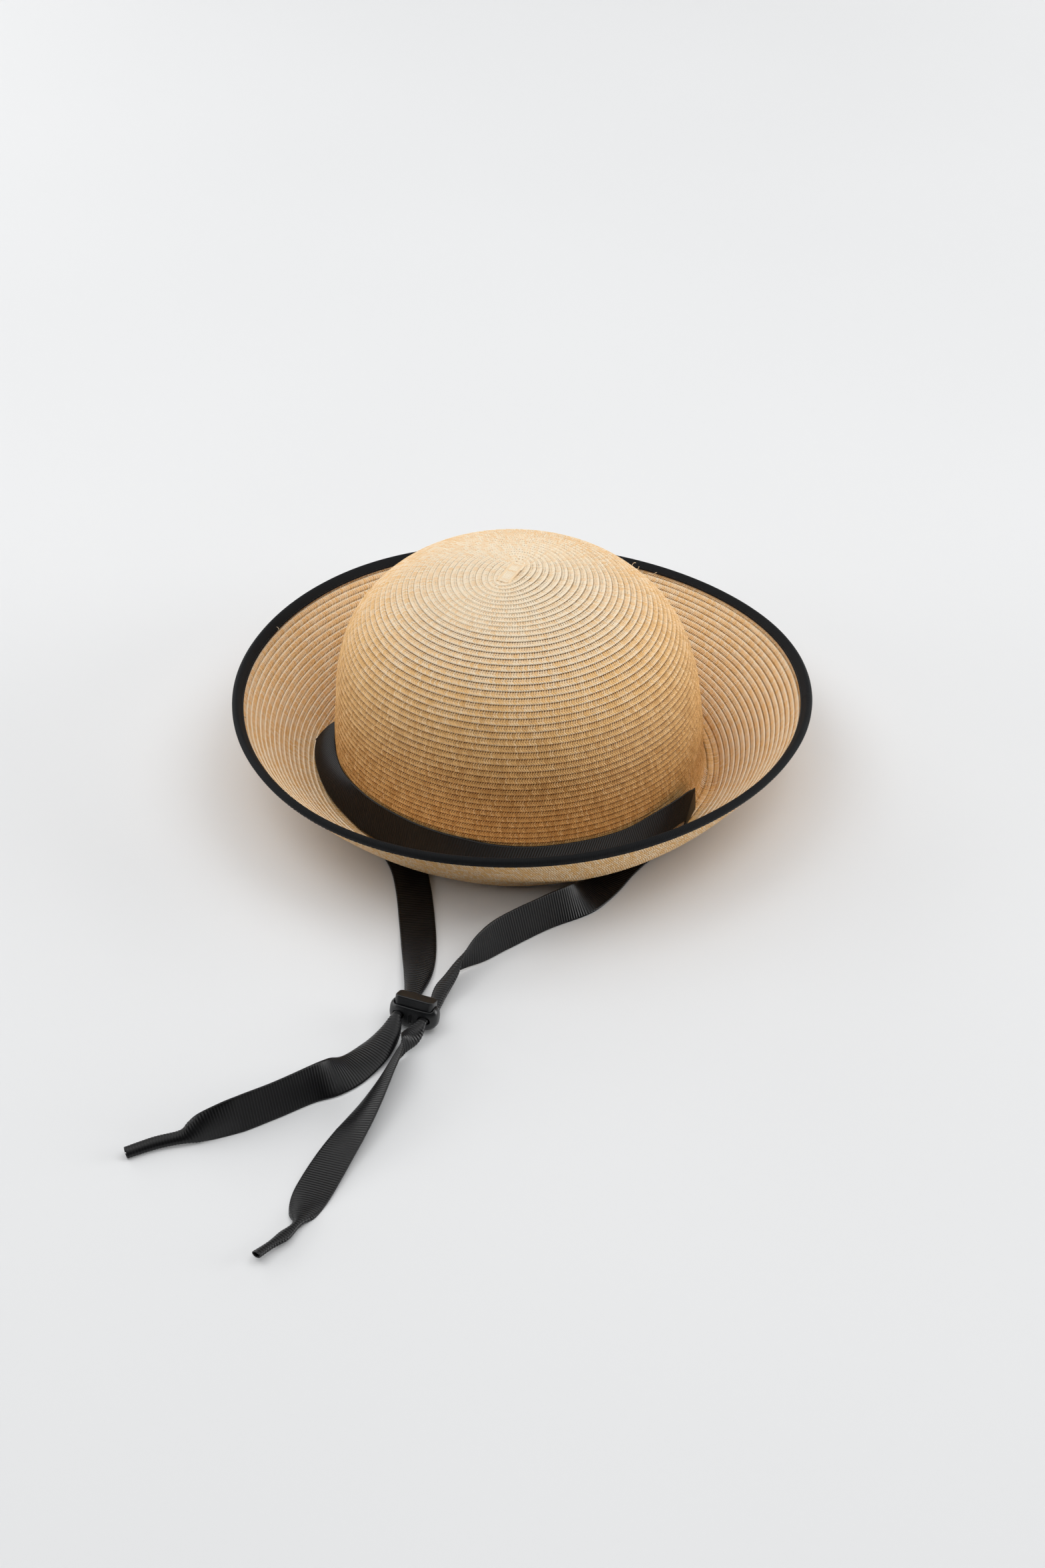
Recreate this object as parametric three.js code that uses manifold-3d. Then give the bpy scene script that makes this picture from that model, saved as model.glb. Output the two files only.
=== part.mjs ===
// Straw hat with a turned-up brim, a bound edge and a ribbon chin strap with a cord lock.
// Millimetres, +Z up. The hat stands on the roll between crown and brim, at Z = 0, with its box
// centred on the origin. The chin strap lies on the same surface in front of it, towards -Y.
import * as THREE from "three";
import { mergeVertices } from "three/addons/utils/BufferGeometryUtils.js";
import Module from "manifold-3d";

const wasm = await Module();
wasm.setup();

// Straw wall
const WALL = 2;
const GAP = 0.3;
const AROUND = 60;
const MERGE_DISTANCE = 1e-4;
const HAT_Y = -5.7;
const STRAW = { color: 0xd9b884, roughness: 0.8 };

// Crown: half width along X, half depth along Y and sideways shift of the middle of the wall,
// from the tip down to the bottom of the roll.
const CROWN_RINGS = [
  { height: 122.1, width: 0, depth: 0, shift: -6.6 },
  { height: 119.4, width: 23.5, depth: 23.5, shift: -6.5 },
  { height: 114.0, width: 46, depth: 46, shift: -6.2 },
  { height: 105.6, width: 65, depth: 65, shift: -5.8 },
  { height: 94.0, width: 78.5, depth: 78, shift: -5.2 },
  { height: 79.6, width: 88, depth: 87, shift: -4.5 },
  { height: 62.0, width: 93.5, depth: 92.5, shift: -3.6 },
  { height: 45.0, width: 95.8, depth: 94, shift: -2.8 },
  { height: 28.0, width: 97.4, depth: 93.8, shift: -2.4 },
  { height: 16.0, width: 97.6, depth: 93.6, shift: -2.1 },
  { height: 9.0, width: 98, depth: 95, shift: -1.9 },
  { height: 4.2, width: 98.8, depth: 97.4, shift: -1.7 },
  { height: 1.7, width: 100, depth: 99.4, shift: -1.7 },
  { height: 1.0, width: 101.9, depth: 101.9, shift: -1.7 },
];
const CROWN_STEPS_PER_RING = 1.5;
const SEAM_RING = 10;
const SEAM_GAP_RINGS = 0.08;

// Brim: it leaves the roll at BRIM_ROOT_SLOPE and turns evenly to the slope of its edge, which
// varies round the hat. Azimuths run from +X towards +Y, in degrees.
const BRIM_LENGTH = 68.6;
const BRIM_ROOT_SLOPE = 37.8;
const ROLL_RADIUS = 6;
const ROLL_FLAT = 3;
const BRIM_STATIONS = [0, 1.5, 3, 4.5, 6, 10, 17, 26, 36, 47, 58, BRIM_LENGTH];
const EDGE_SLOPES = [
  { azimuth: 0, slope: 46 },
  { azimuth: 45, slope: 23 },
  { azimuth: 90, slope: 26 },
  { azimuth: 135, slope: 49 },
  { azimuth: 180, slope: 53 },
  { azimuth: 225, slope: 55.5 },
  { azimuth: 270, slope: 62.5 },
  { azimuth: 315, slope: 63 },
];
// The roll arches over the two straps that run out under it.
const ARCH_RISE = 1.8;
const ARCH_RAMP = 12;
const ARCH_REACH = 24;
const ARCHES = [
  { from: 162, to: 262 },
  { from: 270, to: 346 },
];

// Binding: tape folded over the brim's edge.
const BINDING_THICK = 0.9;
const BINDING_LEG = { above: 7.8, below: 5.5 };
const BINDING = { color: 0x16181d, roughness: 0.85 };

// Ribbon
const RIBBON_THICK = 1;
const RIBBON = { color: 0x1b1b1b, roughness: 0.7 };
const FLOOR_CLEARANCE = 0.1;

// Band: the ribbon's run across the front, leaning from the crown's wall out onto the brim.
const BAND_TOP_RING = 8.9;
const BAND_BRIM_STATION = 9;
const BAND_STEPS = 40;
const BAND_GAP = 0.6;
const SLIT_WIDTH = 1.9;
const SLIT_MARGIN = 1;
const TAB_END_HEIGHT = 1.55;
const TAB_TAPER = 2.5;
// The band's ends run from the brim up to the crown, at these azimuths. Towards its right end the
// upper edge comes away from the crown.
const BAND_ENDS = [
  { atBrim: 178, atCrown: 172, standOff: 0 },
  { atBrim: 323, atCrown: 333, standOff: 5 },
];
const STAND_OFF_SPAN = 24;

// Cord lock: a flattened pebble with two ribbon holes and a push button in a pocket.
const LOCK = { x: -52, y: -216, yaw: -22, lean: 19, width: 25, depth: 11, height: 15 };
const LOCK_SQUARENESS = 2.8;
const PLASTIC = { color: 0x1a1b1d, roughness: 0.45 };
const HOLE = { x: 6.5, z: -1, width: 6, height: 3 };
const BUNDLE = { width: 4.6, thick: 1.8, straight: 7 };
const BUTTON = { width: 19.5, depth: 7.4, height: 5.2, foot: 3, corner: 2.2, bevel: 1 };
const BUTTON_TRAVEL = 2;
const PLUNGER = { width: 16, depth: 3, foot: -3.3 };
const SLIDING_GAP = 0.4;
const SADDLE_HEIGHT = 3.2;

// Free ribbon runs: place, width, thickness and roll about the run, in degrees. A roll of 0 lies
// flat, and each run begins under its slit, goes through the lock and ends at its folded tip.
// The right run is turned over once on its way into the lock.
const LOCK_ROLL = { left: 0, right: -180 };
const STRAP_LEFT = [
  { x: -106, y: -4, z: 0.6, width: 17, thick: 1, roll: 0 },
  { x: -101, y: -19, z: 0.6, width: 18, thick: 1, roll: 0 },
  { x: -91, y: -37, z: 0.6, width: 18, thick: 1, roll: 0 },
  { x: -79, y: -57, z: 0.6, width: 18, thick: 1, roll: 0 },
  { x: -68, y: -77, z: 0.6, width: 18, thick: 1, roll: 0 },
  { x: -60, y: -95, z: 0.65, width: 18, thick: 1, roll: 0 },
  { x: -56, y: -115, z: 0.7, width: 18, thick: 1, roll: 0 },
  { x: -53.2, y: -142, z: 0.9, width: 18, thick: 1, roll: 0 },
  { x: -51.6, y: -165, z: 2.2, width: 17, thick: 1.2, roll: -5 },
  { x: -51.4, y: -181, z: 3.8, width: 14, thick: 1.6, roll: -8 },
  { x: -53, y: -195, z: 4.4, width: 9, thick: 2, roll: -5 },
];
const TAIL_LEFT = [
  { x: -63.5, y: -227.5, z: 6.2, width: 10, thick: 1.6, roll: -4 },
  { x: -70.2, y: -238.5, z: 4.2, width: 15, thick: 1.2, roll: -5 },
  { x: -79.3, y: -250, z: 3.8, width: 17, thick: 1, roll: -16 },
  { x: -88, y: -259.5, z: 6.8, width: 18, thick: 1, roll: -43 },
  { x: -98, y: -267, z: 8.8, width: 18, thick: 1, roll: -66 },
  { x: -114, y: -277.5, z: 8.9, width: 18, thick: 1, roll: -70 },
  { x: -130.5, y: -287, z: 8.8, width: 18, thick: 1, roll: -70 },
  { x: -143.5, y: -293, z: 7.5, width: 15, thick: 1, roll: -68 },
  { x: -150.5, y: -295.4, z: 5.7, width: 10.5, thick: 1.4, roll: -60 },
  { x: -156, y: -296.8, z: 4.2, width: 6, thick: 2, roll: -50 },
  { x: -168, y: -300, z: 3.4, width: 5.4, thick: 2, roll: -45 },
  { x: -180.5, y: -306, z: 3.2, width: 5, thick: 2, roll: -45 },
];
const STRAP_RIGHT = [
  { x: 88, y: -61, z: 0.6, width: 17, thick: 1, roll: 0 },
  { x: 73, y: -73, z: 0.6, width: 18, thick: 1, roll: 0 },
  { x: 59, y: -85, z: 0.6, width: 18, thick: 1, roll: 0 },
  { x: 49, y: -98, z: 0.6, width: 18, thick: 1, roll: 0 },
  { x: 42, y: -110, z: 1.1, width: 18, thick: 1, roll: -3 },
  { x: 35, y: -120.5, z: 3, width: 18, thick: 1, roll: -16 },
  { x: 26, y: -132.5, z: 7.6, width: 18, thick: 1, roll: -55 },
  { x: 11, y: -143.5, z: 9, width: 18, thick: 1, roll: -70 },
  { x: -9, y: -158.5, z: 9, width: 18, thick: 1, roll: -70 },
  { x: -21, y: -171, z: 9.4, width: 17, thick: 1, roll: -82 },
  { x: -32, y: -181.5, z: 9, width: 13, thick: 1.4, roll: -112 },
  { x: -36.4, y: -190, z: 7.8, width: 10, thick: 1.8, roll: -140 },
  { x: -39.8, y: -198, z: 6.4, width: 8, thick: 2, roll: -165 },
];
const TAIL_RIGHT = [
  { x: -52, y: -231.5, z: 7.6, width: 8, thick: 1.6, roll: -215 },
  { x: -56, y: -238, z: 7.4, width: 10, thick: 1.3, roll: -260 },
  { x: -59.7, y: -245, z: 7, width: 13, thick: 1, roll: -292 },
  { x: -64.8, y: -259.6, z: 7.7, width: 16, thick: 1, roll: -306 },
  { x: -71.1, y: -275.6, z: 6.1, width: 17, thick: 1, roll: -322 },
  { x: -78.2, y: -291.9, z: 4.2, width: 18, thick: 1, roll: -338 },
  { x: -85.2, y: -306.7, z: 2.5, width: 18, thick: 1, roll: -350 },
  { x: -91.2, y: -320.9, z: 1.4, width: 18, thick: 1, roll: -356 },
  { x: -95.6, y: -332.3, z: 1.1, width: 17, thick: 1, roll: -358 },
  { x: -98.3, y: -341.8, z: 1.6, width: 12, thick: 1.3, roll: -360 },
  { x: -100.3, y: -349.4, z: 2.2, width: 6, thick: 2, roll: -360 },
  { x: -106.2, y: -358, z: 3, width: 4.6, thick: 2, roll: -360 },
  { x: -116.4, y: -369.6, z: 4.6, width: 4.6, thick: 2, roll: -360 },
];
const RIBBON_STEPS_PER_ROW = 2;

const { degToRad, radToDeg, lerp, clamp, smoothstep, euclideanModulo } = THREE.MathUtils;

// A table's column at a fractional row, on a smooth curve through its rows.
function column(table, key, at, closed = false) {
  const rows = table.length;
  const row = (i) => table[closed ? euclideanModulo(i, rows) : clamp(i, 0, rows - 1)][key];
  const i = closed ? Math.floor(at) : Math.min(Math.floor(at), rows - 2);
  const t = at - i;
  const before = row(i - 1);
  const start = row(i);
  const end = row(i + 1);
  const after = row(i + 2);
  const bend = 2 * before - 5 * start + 4 * end - after;
  const twist = 3 * (start - end) + after - before;
  return start + 0.5 * t * (end - before + t * (bend + t * twist));
}

// Middle of the crown's wall at a fractional ring and an azimuth in radians.
function crownMiddle(ring, azimuth) {
  return new THREE.Vector3(
    column(CROWN_RINGS, "shift", ring) + column(CROWN_RINGS, "width", ring) * Math.cos(azimuth),
    HAT_Y + column(CROWN_RINGS, "depth", ring) * Math.sin(azimuth),
    column(CROWN_RINGS, "height", ring),
  );
}

const ROLL = CROWN_RINGS[CROWN_RINGS.length - 1];
const LAST_RING = CROWN_RINGS.length - 1;

// Slope of the brim, in radians, at a length along it from the bottom of the roll.
function brimSlope(along, azimuth) {
  const turn = euclideanModulo(azimuth / (2 * Math.PI), 1) * EDGE_SLOPES.length;
  const root = degToRad(BRIM_ROOT_SLOPE);
  const edge = degToRad(column(EDGE_SLOPES, "slope", turn, true));
  const rolled = Math.max(along - ROLL_FLAT / 2, 0);
  const rollLength = ROLL_RADIUS * root;
  const share = clamp((rolled - rollLength) / (BRIM_LENGTH - rollLength), 0, 1);
  return Math.min(rolled / ROLL_RADIUS, root) + (edge - root) * share;
}

// Middle of the brim's wall at a length along it from the bottom of the roll.
function brimMiddle(along, azimuth) {
  const steps = 48;
  const step = along / steps;
  let radius = ROLL.width;
  let height = ROLL.height;
  for (let i = 0; i < steps; i += 1) {
    const slope = brimSlope((i + 0.5) * step, azimuth);
    radius += step * Math.cos(slope);
    height += step * Math.sin(slope);
  }
  return new THREE.Vector3(
    ROLL.shift + radius * Math.cos(azimuth),
    HAT_Y + radius * Math.sin(azimuth),
    height,
  );
}

// How far the roll is lifted over the straps at an azimuth.
function archLift(azimuth) {
  const degrees = euclideanModulo(radToDeg(azimuth), 360);
  const lift = ARCHES.map(
    ({ from, to }) =>
      smoothstep(degrees, from, from + ARCH_RAMP) * (1 - smoothstep(degrees, to - ARCH_RAMP, to)),
  );
  return ARCH_RISE * Math.max(...lift);
}

// The brim's section: up the neck to the seam with the crown where along is negative, in rings,
// and out to the edge where it is positive, in millimetres.
function brimWall(along, azimuth) {
  const point = along < 0 ? crownMiddle(LAST_RING + along, azimuth) : brimMiddle(along, azimuth);
  const neck = LAST_RING - SEAM_RING;
  const share = along < 0 ? 1 + along / neck : 1 - along / ARCH_REACH;
  point.z += archLift(azimuth) * smoothstep(share, 0, 1);
  return point;
}

// A point off the middle of a wall: positive is its upper or outer side.
function offWall(wall, along, azimuth, distance) {
  const small = 1e-3;
  const onward = wall(along + small, azimuth).sub(wall(along - small, azimuth));
  const round = wall(along, azimuth + small).sub(wall(along, azimuth - small));
  const normal = onward.cross(round).normalize();
  return wall(along, azimuth).addScaledVector(normal, distance);
}

// A closed mesh through rows of points. Each row closes on itself, a row of one point is a pole,
// and a loop of rows joins its last row to its first.
function skin(rows, loop) {
  const points = rows.flat();
  const starts = [];
  let count = 0;
  for (const row of rows) {
    starts.push(count);
    count += row.length;
  }
  const triangles = [];
  for (let i = 0; i + (loop ? 0 : 1) < rows.length; i += 1) {
    const next = (i + 1) % rows.length;
    const around = Math.max(rows[i].length, rows[next].length);
    const here = (j) => starts[i] + (j % rows[i].length);
    const there = (j) => starts[next] + (j % rows[next].length);
    for (let j = 0; j < around; j += 1) {
      if (rows[i].length > 1) triangles.push([here(j), here(j + 1), there(j)]);
      if (rows[next].length > 1) triangles.push([here(j + 1), there(j + 1), there(j)]);
    }
  }
  const volume = triangles.reduce((sum, [a, b, c]) => {
    const face = points[b].clone().cross(points[c]);
    return sum + points[a].dot(face);
  }, 0);
  if (volume < 0) triangles.forEach((triangle) => triangle.reverse());
  const geometry = new THREE.BufferGeometry().setFromPoints(points);
  geometry.setIndex(triangles.flat());
  return geometry;
}

const AZIMUTHS = Array.from({ length: AROUND }, (_, i) => (2 * Math.PI * i) / AROUND);

// A solid for cutting and joining, from a closed geometry.
function solid(geometry) {
  const bare = geometry.clone();
  bare.deleteAttribute("normal");
  bare.deleteAttribute("uv");
  const merged = mergeVertices(bare, MERGE_DISTANCE);
  return new wasm.Manifold(
    new wasm.Mesh({
      numProp: 3,
      vertProperties: merged.attributes.position.array,
      triVerts: new Uint32Array(merged.index.array),
    }),
  );
}

// A geometry from such a solid.
function geometryOf(made) {
  const mesh = made.getMesh();
  const geometry = new THREE.BufferGeometry();
  geometry.setAttribute("position", new THREE.BufferAttribute(mesh.vertProperties, 3));
  geometry.setIndex(new THREE.BufferAttribute(mesh.triVerts, 1));
  return geometry;
}

function piece(name, geometry, finish) {
  const material = new THREE.MeshStandardMaterial({ ...finish, metalness: 0 });
  geometry.computeVertexNormals();
  const mesh = new THREE.Mesh(geometry, material);
  mesh.name = name;
  return mesh;
}

// Crown: a dome closed at the tip, down to the seam with the brim.
function makeCrown() {
  const steps = Math.round(SEAM_RING * CROWN_STEPS_PER_RING);
  const rings = Array.from({ length: steps }, (_, i) => ((i + 1) * SEAM_RING) / steps);
  const side = (distance) =>
    rings.map((ring) => AZIMUTHS.map((azimuth) => offWall(crownMiddle, ring, azimuth, distance)));
  const tip = crownMiddle(0, 0);
  const pole = (distance) => [tip.clone().setZ(tip.z + distance)];
  const outside = [pole(WALL / 2), ...side(WALL / 2)];
  const inside = [pole(-WALL / 2), ...side(-WALL / 2)];
  return skin([...outside, ...inside.reverse()], false);
}

// The two slits' ends, on the brim and on the crown's side.
function bandEnd({ atBrim, atCrown }) {
  return { brim: degToRad(atBrim), crown: degToRad(atCrown) };
}

// The band's upper edge lies on the crown, and its lower edge on the brim.
const LIFT_OFF = WALL / 2 + BAND_GAP;
const bandTop = (azimuth) => {
  const standOffs = BAND_ENDS.map(({ atCrown, standOff }) => {
    const away = Math.abs(radToDeg(azimuth) - atCrown);
    return standOff * (1 - smoothstep(away, 0, STAND_OFF_SPAN));
  });
  return offWall(crownMiddle, BAND_TOP_RING, azimuth, LIFT_OFF + Math.max(...standOffs));
};
const bandFoot = (azimuth) => offWall(brimWall, BAND_BRIM_STATION, azimuth, LIFT_OFF);

// A slit: a narrow upright cut through the brim's root, along the line of the band's end.
function slitCut(end) {
  const { brim, crown } = bandEnd(end);
  const top = bandTop(crown).setZ(0);
  const foot = bandFoot(brim).setZ(0);
  const length = top.distanceTo(foot) + 2 * SLIT_MARGIN;
  const height = 40;
  const cut = new THREE.BoxGeometry(length, SLIT_WIDTH, height);
  const run = foot.clone().sub(top);
  cut.rotateZ(Math.atan2(run.y, run.x));
  const middle = top.add(foot).multiplyScalar(0.5);
  return cut.translate(middle.x, middle.y, 0);
}

// Brim: neck, roll and turned-up sweep as one wall, cut by the two slits.
function makeBrim() {
  const neck = [SEAM_RING + SEAM_GAP_RINGS, SEAM_RING + 1, SEAM_RING + 2].map((r) => r - LAST_RING);
  const edge = BRIM_LENGTH - BINDING_THICK - GAP;
  const stations = [...neck, ...BRIM_STATIONS.filter((along) => along < edge), edge];
  const side = (distance) =>
    stations.map((along) => AZIMUTHS.map((azimuth) => offWall(brimWall, along, azimuth, distance)));
  const wall = skin([...side(WALL / 2), ...side(-WALL / 2).reverse()], true);
  const cut = BAND_ENDS.reduce((made, end) => made.subtract(solid(slitCut(end))), solid(wall));
  return geometryOf(cut);
}

// Binding: a U round the brim's edge, its legs lying on both sides of the straw.
function makeBinding() {
  const inner = WALL / 2 + GAP;
  const outer = inner + BINDING_THICK;
  const above = BRIM_LENGTH - BINDING_LEG.above;
  const below = BRIM_LENGTH - BINDING_LEG.below;
  const crease = BRIM_LENGTH - BINDING_THICK;
  const section = [
    { along: above, off: outer },
    { along: crease, off: outer },
    { along: BRIM_LENGTH, off: inner },
    { along: BRIM_LENGTH, off: -inner },
    { along: crease, off: -outer },
    { along: below, off: -outer },
    { along: below, off: -inner },
    { along: crease, off: -inner },
    { along: crease, off: inner },
    { along: above, off: inner },
  ];
  const rows = section.map(({ along, off }) =>
    AZIMUTHS.map((azimuth) => offWall(brimWall, along, azimuth, off)),
  );
  return skin(rows, true);
}

// Four corners of a ribbon's section: two edges and their thickness.
function ribbonRow(edgeA, edgeB, thickness) {
  return [edgeA, edgeB, edgeB.clone().add(thickness), edgeA.clone().add(thickness)];
}

// Closes both ends of a run of ribbon rows with a point in the middle of each.
function capped(rows) {
  const middle = (row) => {
    const sum = row.reduce((total, point) => total.add(point), new THREE.Vector3());
    return [sum.divideScalar(row.length)];
  };
  return skin([middle(rows[0]), ...rows, middle(rows[rows.length - 1])], false);
}

// Hat band: across the front from slit to slit, then down through each slit as a tab.
function makeBand() {
  const [left, right] = BAND_ENDS.map(bandEnd);
  const edges = Array.from({ length: BAND_STEPS + 1 }, (_, i) => {
    const t = i / BAND_STEPS;
    const top = bandTop(lerp(left.crown, right.crown, t));
    const foot = bandFoot(lerp(left.brim, right.brim, t));
    return { top, foot };
  });
  const outward = edges.map(({ top, foot }, i) => {
    const before = edges[Math.max(i - 1, 0)];
    const after = edges[Math.min(i + 1, BAND_STEPS)];
    const run = after.top.clone().add(after.foot).sub(before.top).sub(before.foot);
    return run.cross(top.clone().sub(foot)).normalize().multiplyScalar(RIBBON_THICK);
  });
  const tab = ({ top, foot }, face, away) => {
    const acrossSlit = top.clone().sub(foot).setZ(0);
    const beyond = new THREE.Vector3(-acrossSlit.y, acrossSlit.x, 0).setLength(RIBBON_THICK);
    if (beyond.dot(away) < 0) beyond.negate();
    const half = beyond.clone().multiplyScalar(0.5);
    const bentTop = top.clone().sub(half).sub(acrossSlit.setLength(GAP));
    const bentFoot = foot.clone().sub(half);
    const turn = 1 + face.dot(beyond) / RIBBON_THICK ** 2;
    const bend = ribbonRow(bentTop, bentFoot, face.clone().add(beyond).divideScalar(turn));
    const tapered = bentTop.clone().sub(acrossSlit.setLength(TAB_TAPER));
    const end = ribbonRow(
      tapered.setZ(TAB_END_HEIGHT),
      bentFoot.clone().setZ(TAB_END_HEIGHT),
      beyond,
    );
    return [bend, end];
  };
  const rows = edges.map(({ top, foot }, i) => ribbonRow(top, foot, outward[i])).slice(1, -1);
  const last = BAND_STEPS;
  const runIn = edges[0].foot.clone().sub(edges[1].foot);
  const runOut = edges[last].foot.clone().sub(edges[last - 1].foot);
  const first = tab(edges[0], outward[0], runIn).reverse();
  return capped([...first, ...rows, ...tab(edges[last], outward[last], runOut)]);
}

// The lock's pebble: a ball swollen towards its box.
function makePebble() {
  const ball = new THREE.SphereGeometry(1, 28, 16).rotateX(Math.PI / 2);
  const at = ball.attributes.position;
  for (let i = 0; i < at.count; i += 1) {
    const swollen = ["getX", "getY", "getZ"].map((read) => {
      const value = at[read](i);
      return Math.sign(value) * Math.abs(value) ** (2 / LOCK_SQUARENESS);
    });
    at.setXYZ(i, ...swollen);
  }
  return ball.scale(LOCK.width / 2, LOCK.depth / 2, LOCK.height / 2);
}

// Cord lock's own frame: X across its two holes, Y along them, Z out through the button.
const lockFrame = new THREE.Group();
lockFrame.rotation.order = "ZXY";
lockFrame.rotation.set(-degToRad(LOCK.lean), 0, degToRad(LOCK.yaw));
lockFrame.updateMatrixWorld();
const leaning = makePebble().applyMatrix4(lockFrame.matrixWorld);
leaning.computeBoundingBox();
lockFrame.position.set(LOCK.x, LOCK.y, FLOOR_CLEARANCE - leaning.boundingBox.min.z);
lockFrame.updateMatrixWorld();

// A box between two corners.
function boxBetween(low, high) {
  const size = high.clone().sub(low);
  const middle = low.clone().add(high).multiplyScalar(0.5);
  return new THREE.BoxGeometry(size.x, size.y, size.z).translate(middle.x, middle.y, middle.z);
}

// A hole through the lock along Y, with round ends.
function ribbonHole(x) {
  const radius = HOLE.height / 2;
  const half = HOLE.width / 2 - radius;
  const outline = new THREE.Shape();
  outline.absarc(half, 0, radius, -Math.PI / 2, Math.PI / 2, false);
  outline.absarc(-half, 0, radius, Math.PI / 2, 1.5 * Math.PI, false);
  const length = 2 * LOCK.depth;
  const options = { depth: length, bevelEnabled: false, curveSegments: 5 };
  const hole = new THREE.ExtrudeGeometry(outline, options);
  return hole.translate(0, 0, -length / 2).rotateX(Math.PI / 2).translate(x, 0, HOLE.z);
}

// Lock body: the pebble, less the saddle and pocket for the button, the plunger's well and holes.
function makeLockBody() {
  const x = BUTTON.width / 2 + SLIDING_GAP;
  const y = BUTTON.depth / 2 + SLIDING_GAP;
  const top = LOCK.height;
  const pocketFloor = BUTTON.foot - BUTTON_TRAVEL - SLIDING_GAP;
  const wellX = PLUNGER.width / 2 + SLIDING_GAP;
  const wellY = PLUNGER.depth / 2 + SLIDING_GAP;
  const wellFloor = PLUNGER.foot - BUTTON_TRAVEL - SLIDING_GAP;
  const saddle = boxBetween(
    new THREE.Vector3(-x, -LOCK.depth, SADDLE_HEIGHT),
    new THREE.Vector3(x, LOCK.depth, top),
  );
  const pocket = boxBetween(new THREE.Vector3(-x, -y, pocketFloor), new THREE.Vector3(x, y, top));
  const well = boxBetween(
    new THREE.Vector3(-wellX, -wellY, wellFloor),
    new THREE.Vector3(wellX, wellY, top),
  );
  const holes = [-HOLE.x, HOLE.x].map(ribbonHole);
  const body = [saddle, pocket, well, ...holes].reduce(
    (made, cut) => made.subtract(solid(cut)),
    solid(makePebble()),
  );
  return geometryOf(body);
}

// Lock button: a rounded bar on a plunger with two windows, which clear the ribbon all the way.
function makeLockButton() {
  const { width, depth, height, foot, corner, bevel } = BUTTON;
  const halfWidth = width / 2 - bevel;
  const halfDepth = depth / 2 - bevel;
  const bar = new THREE.Shape();
  bar.moveTo(-halfWidth + corner, -halfDepth);
  bar.absarc(halfWidth - corner, -halfDepth + corner, corner, -Math.PI / 2, 0, false);
  bar.absarc(halfWidth - corner, halfDepth - corner, corner, 0, Math.PI / 2, false);
  bar.absarc(-halfWidth + corner, halfDepth - corner, corner, Math.PI / 2, Math.PI, false);
  bar.absarc(-halfWidth + corner, -halfDepth + corner, corner, Math.PI, 1.5 * Math.PI, false);
  const cap = new THREE.ExtrudeGeometry(bar, {
    depth: height - 2 * bevel,
    bevelThickness: bevel,
    bevelSize: bevel,
    bevelSegments: 2,
    curveSegments: 3,
  }).translate(0, 0, foot + bevel);
  const plunger = boxBetween(
    new THREE.Vector3(-PLUNGER.width / 2, -PLUNGER.depth / 2, PLUNGER.foot),
    new THREE.Vector3(PLUNGER.width / 2, PLUNGER.depth / 2, foot + bevel),
  );
  const low = HOLE.z - HOLE.height / 2;
  const high = HOLE.z + HOLE.height / 2 + BUTTON_TRAVEL;
  const windows = [-HOLE.x, HOLE.x].map((x) =>
    boxBetween(
      new THREE.Vector3(x - HOLE.width / 2, -PLUNGER.depth, low),
      new THREE.Vector3(x + HOLE.width / 2, PLUNGER.depth, high),
    ),
  );
  const button = windows.reduce(
    (made, cut) => made.subtract(solid(cut)),
    solid(plunger).add(solid(cap)),
  );
  return geometryOf(button);
}

// A free run of ribbon through a table's rows, with its section turned about the run.
function makeStrap(before, holeX, lockRoll, after) {
  const throughLock = [1, 0.5, 0, -0.5, -1].map((share) => {
    const at = new THREE.Vector3(holeX, share * BUNDLE.straight, HOLE.z);
    const { x, y, z } = at.applyMatrix4(lockFrame.matrixWorld);
    return { x, y, z, width: BUNDLE.width, thick: BUNDLE.thick, roll: lockRoll };
  });
  const table = [...before, ...throughLock, ...after];
  const place = (at) => new THREE.Vector3(...["x", "y", "z"].map((key) => column(table, key, at)));
  const steps = (table.length - 1) * RIBBON_STEPS_PER_ROW;
  const up = new THREE.Vector3(0, 0, 1);
  const rows = Array.from({ length: steps + 1 }, (_, i) => {
    const at = i / RIBBON_STEPS_PER_ROW;
    const small = 0.01;
    const ahead = place(Math.min(at + small, table.length - 1));
    const run = ahead.sub(place(Math.max(at - small, 0))).normalize();
    const roll = degToRad(column(table, "roll", at));
    const across = run.clone().cross(up).normalize().applyAxisAngle(run, roll);
    const face = across.clone().cross(run).normalize();
    const half = across.multiplyScalar(column(table, "width", at) / 2);
    const thickness = face.multiplyScalar(column(table, "thick", at));
    const middle = place(at).addScaledVector(thickness, -0.5);
    return ribbonRow(middle.clone().sub(half), middle.clone().add(half), thickness);
  });
  return capped(rows);
}

const strapLeft = makeStrap(STRAP_LEFT, -HOLE.x, LOCK_ROLL.left, TAIL_LEFT);
const strapRight = makeStrap(STRAP_RIGHT, HOLE.x, LOCK_ROLL.right, TAIL_RIGHT);

const hat = new THREE.Group();
hat.add(piece("crown", makeCrown(), STRAW));
hat.add(piece("brim", makeBrim(), STRAW));
hat.add(piece("brim_binding", makeBinding(), BINDING));
hat.add(piece("hat_band", makeBand(), RIBBON));
hat.add(piece("strap_left", strapLeft, RIBBON));
hat.add(piece("strap_right", strapRight, RIBBON));
lockFrame.add(piece("lock_body", makeLockBody(), PLASTIC));
lockFrame.add(piece("lock_button", makeLockButton(), PLASTIC));
hat.add(lockFrame);

export default hat;
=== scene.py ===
# Straw hat with a turned-up brim, a bound edge and a ribbon chin strap held by a cord lock.
import math

import bpy
import numpy as np
from mathutils import Matrix, Vector


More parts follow.
